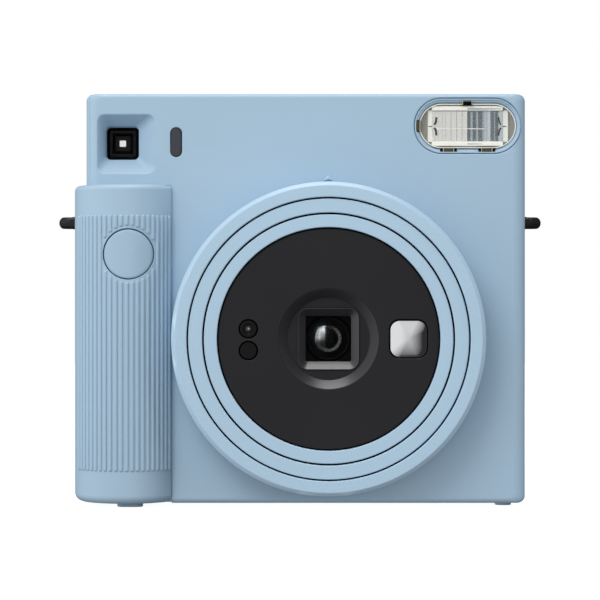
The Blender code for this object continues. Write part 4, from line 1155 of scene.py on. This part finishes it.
def make_film_door():
    """The hinged back, with a rim that enters the opening and an amber window."""
    (left, _, low), _ = span("film_door")
    right, front, back, high = 57.6, 26.3, 28.2, span("film_door")[1][2]
    pin_x, pin_y, _ = middle("door_hinge_pin")
    door = rounded_block(left, right, low, high, back, front, (1.2, 1.2, 1.2), 3.0)
    rim = pad(opening_block(0.8, 1.0), "Y", 24.4, front + 0.5)
    cut(rim, pad(opening_block(2.0, 0.6), "Y", 23.0, front))
    foot, head = HINGE_LOW + 0.4, HINGE_HIGH - 0.4
    arm = pad(block(right - 1.5, pin_x, front, back - 0.2, 0.1), "Z", foot, head)
    knuckle = pad(disc(pin_x, pin_y, 1.8, 40), "Z", foot, head, 0.25, 0.25)
    join(door, rim, arm, knuckle)
    x, _, z = middle("pack_window")
    width, _, height = extent("pack_window")
    cut(
        door,
        pad(disc(pin_x, pin_y, 1.1, 24), "Z", 18.0, 90.0),
        bore(panel(x, z, width + 0.6, height + 0.6, 2.0), "Y", back, 25.0, 0.4),
    )
    groove = swept(
        block(left + 5, right - 5, low + 5, high - 5, 2.0), "Y",
        [(-0.25, back + 0.2), (0.25, back + 0.2), (0.12, back - 0.25), (-0.12, back - 0.25)],
    )
    cut(door, groove)
    piece(door, "film_door_panel", "film_door")
    pane = pad(panel(x, z, width, height, 1.7), "Y", 26.4, back - 0.2, 0, 0.3)
    piece(pane, "pack_pane", "pack_window")


def make_latch():
    """The film door's slide, with grooves for the thumb."""
    (left, front, low), (right, back, high) = span("door_latch")
    latch = rounded_block(left, right, low, high, back, front, (0.8, 0.8, 0.8), 1.2)
    for k in range(5):
        z = (low + high) / 2 + (k - 2) * 1.3
        groove = pad(panel(back + 0.15, z, 0.9, 0.5, 0.2, 4), "X", left - 1, right + 1)
        cut(latch, groove)
    piece(latch, "latch_slide", "door_latch")


def make_battery_door():
    """The hinged lid over the cells, with finger grooves that get shorter towards the back."""
    (outer, front, _), _ = span("battery_door")
    x, y = middle("battery_door")[0], 22.2
    low, high = 6.3, 65.7
    rear = arc(x, y, 0.9, 0, 180, 16)
    edge = [(x - 0.9, front), (x + 0.9, front)]
    door = loft([[(u, v, w) for u, v in edge + rear] for w in (low, high)])
    join(door, pad(disc(x, y, 0.45, 20), "Z", low - 1.8, high + 1.8, 0.1, 0.1))
    for k in range(6):
        groove = panel(front + 2.2 + 1.1 * k, 36.0, 0.5, 14.0 - 1.2 * k, 0.24, 6)
        cut(door, pad(groove, "X", outer - 1, outer + 0.35))
    piece(door, "battery_lid", "battery_door")


def make_screws():
    """Two cross-headed screws."""
    for i in (1, 2):
        node = f"case_screw_{i}"
        x, _, z = middle(node)
        (_, tip, _), (_, top, _) = span(node)
        head = loft(levels(disc(x, z, 0.0, 48), "Y", [
            (2.1, 25.2), (2.08, 25.4), (1.9, top - 0.3), (1.55, top - 0.06), (1.2, top)
        ]))
        shank = pad(disc(x, z, 1.0, 24), "Y", tip, 25.4, 0.4, 0)
        cross = pad(panel(x, z, 2.3, 0.55, 0.15, 4), "Y", top - 0.6, top + 1)
        upright = pad(panel(x, z, 0.55, 2.3, 0.15, 4), "Y", top - 0.6, top + 1)
        piece(cut(join(head, shank), cross, upright), f"screw_{i}", node)


def make_feet():
    for name in ("foot_front_left", "foot_front_right", "foot_rear"):
        high = span(name)[1][2]
        piece(pad(foot_outline(name), "Z", 0.0, high, 0.35, 0.1), f"{name}_pad", name,
              material=FOOT_BLUE)


def make_lugs():
    """A strap loop on each side, held by a flange inside the wall."""
    for side, name in ((-1, "strap_lug_left"), (1, "strap_lug_right")):
        (x0, y0, z0), (x1, y1, z1) = span(name)
        edge = GRIP_LEFT if side < 0 else RIGHT
        tip = x0 if side < 0 else x1
        centre, y = tip - side * 3.5, (y0 + y1) / 2
        low, high = z0 + 1.7, z1 - 1.7
        inside = edge - side * 3.6
        loop = pad(disc(centre, y, 3.5, 64), "Z", low, high, 1.7, 1.7)
        neck_x = sorted((inside, edge + side * 2.2))
        neck = pad(block(*neck_x, y - 3.45, y + 3.45, 0.3), "Z", low + 0.02, high - 0.02, 1.2, 1.2)
        flange = pad(block(*sorted((inside, edge - side * 2.4)), y - 5, y + 5, 0.3), "Z", z0, z1)
        hole = loft(levels(disc(centre, y, 1.9, 48), "Z", [
            (0.8, low - 1), (0.7, low), (0.2, low + 0.4), (0.0, low + 0.9),
            (0.0, high - 0.9), (0.2, high - 0.4), (0.7, high), (0.8, high + 1),
        ]))
        piece(cut(join(loop, neck, flange), hole), f"{name}_loop", name)


def paint_frame():
    """Gives each CAD node that still shows the finish of its slot. The shutter's is matt."""
    for name, obj in frame["nodes"].items():
        paint = MATT_BLACK if name.startswith("shutter_blade") else FINISHES[SLOT_OF[name]]
        for material_slot in obj.material_slots:
            material_slot.material = paint


# ---------------------------------------------------- floor, light and camera

def aimed(obj, location, target):
    """Puts a lamp or camera into the scene, turned towards target."""
    obj.location = Vector(location) * MM
    direction = Vector(target) * MM - obj.location
    obj.rotation_euler = direction.to_track_quat("-Z", "Y").to_euler()
    bpy.context.scene.collection.objects.link(obj)


def area_light(name, location, width, height, power, target=(0, -10, 60)):
    """A softbox. Its power is in watts."""
    lamp = bpy.data.lights.new(name, "AREA")
    lamp.shape = "RECTANGLE"
    lamp.size, lamp.size_y = width * MM, height * MM
    lamp.energy = power
    obj = bpy.data.objects.new(name, lamp)
    aimed(obj, location, target)
    return obj


def make_lights():
    """A key from the upper left, a fill from the right, and a softbox seen only in gloss."""
    key = area_light("key", (-240, -420, 460), 380, 300, 1.7)
    fill = area_light("fill", (810, -250, 200), 400, 500, 2.8)
    gloss = area_light("gloss", (-30, -100, 800), 500, 460, 4.4)
    key.visible_glossy = fill.visible_glossy = False
    gloss.visible_diffuse = False
    lens_window()


def lens_window():
    """A tall softbox that only the lens reflects, brightest at its top."""
    lamp = area_light("window", (-210, -896, AXIS_Z + 10), 317, 745, 290.0, (AXIS_X, -23, AXIS_Z))
    lamp.data.color = (0.85, 0.93, 1.0)
    lens = bpy.data.collections.new("lens_only")
    lens.objects.link(bpy.data.objects["front_glass"])
    lamp.light_linking.receiver_collection = lens
    lamp.data.use_nodes = True
    tree = lamp.data.node_tree
    across = tree.nodes.new("ShaderNodeSeparateXYZ")
    surface = tree.nodes.new("ShaderNodeNewGeometry")
    link(tree, surface.outputs["Parametric"], across.inputs["Vector"])
    strength = remap(tree, across.outputs["Y"], 0.05, 1.0, 0.25, 0.95)
    link(tree, strength, tree.nodes["Emission"].inputs["Strength"])


def gradient(tree, direction, peak, low, high, from_low, from_high):
    """A value that rises from low to high as the direction turns towards the peak."""
    toward = tree.nodes.new("ShaderNodeVectorMath")
    toward.operation = "DOT_PRODUCT"
    toward.inputs[1].default_value = Vector(peak).normalized()
    link(tree, direction, toward.inputs[0])
    return remap(tree, toward.outputs["Value"], low, high, from_low, from_high)


def make_world():
    """White behind the object, and a soft sky that is brighter from the upper left.

    Reflections see a narrower glow than diffuse surfaces do, as from one large softbox.
    """
    world = bpy.data.worlds.new("studio")
    bpy.context.scene.world = world
    world.use_nodes = True
    tree = world.node_tree
    sky = tree.nodes["Background"]
    direction = tree.nodes.new("ShaderNodeTexCoord").outputs["Generated"]
    soft = gradient(tree, direction, (-0.83, -0.30, 0.47), 0.10, 0.98, -0.5, 0.5)
    sharp = gradient(tree, direction, (-0.69, -0.62, 0.37), 0.03, 0.82, 0.12, 0.78)
    path = tree.nodes.new("ShaderNodeLightPath")
    strength = tree.nodes.new("ShaderNodeMix")
    link(tree, path.outputs["Is Diffuse Ray"], strength.inputs[0])
    link(tree, sharp, strength.inputs[2])
    link(tree, soft, strength.inputs[3])
    link(tree, strength.outputs[0], sky.inputs["Strength"])
    backdrop = tree.nodes.new("ShaderNodeBackground")
    choice = tree.nodes.new("ShaderNodeMixShader")
    link(tree, path.outputs["Is Camera Ray"], choice.inputs["Fac"])
    link(tree, sky.outputs["Background"], choice.inputs[1])
    link(tree, backdrop.outputs["Background"], choice.inputs[2])
    link(tree, choice.outputs["Shader"], tree.nodes["World Output"].inputs["Surface"])
    for node in (sky, backdrop):
        node.inputs["Color"].default_value = (1.0, 1.0, 1.0, 1.0)
    backdrop.inputs["Strength"].default_value = 1.0


def make_floor():
    """A pale floor, which casts no light of its own back on the object."""
    corners = [(-1500, -1500, 0), (1500, -1500, 0), (1500, 1500, 0), (-1500, 1500, 0)]
    floor = solid((corners, [[0, 1, 2, 3]]))
    floor.name = "floor"
    pale = finish("pale_floor", (0.86, 0.86, 0.86), 0.7, 2.0, 0.01, 0.01, 0.01, 0.0)
    shader = pale.node_tree.nodes["Principled BSDF"]
    shader.inputs["Emission Color"].default_value = (1.0, 1.0, 1.0, 1.0)
    shader.inputs["Emission Strength"].default_value = 0.85
    floor.data.materials.append(pale)
    floor.visible_diffuse = False
    floor.visible_glossy = False


def make_camera():
    """A level camera, straight in front of the body's middle."""
    lens = bpy.data.cameras.new("view")
    lens.sensor_width = 36.0
    lens.lens = 18.0 * VIEW_DISTANCE / VIEW_HALF
    lens.clip_start, lens.clip_end = 0.01, 20.0
    camera = bpy.data.objects.new("view", lens)
    aimed(camera, (0, FRONT - VIEW_DISTANCE, VIEW_HEIGHT), (0, 0, VIEW_HEIGHT))
    bpy.context.scene.camera = camera
    bpy.context.scene.view_settings.view_transform = "Standard"


def make_studio():
    make_world()
    make_floor()
    make_lights()
    make_camera()


def main():
    paint_frame()
    make_front_cover()
    make_rear_cover()
    make_grip()
    make_rings()
    make_faceplate()
    make_hood()
    make_glass()
    make_mirror()
    make_sensors()
    make_shutter()
    make_viewfinder()
    make_flash()
    make_film_door()
    make_latch()
    make_battery_door()
    make_screws()
    make_feet()
    make_lugs()
    make_studio()


main()
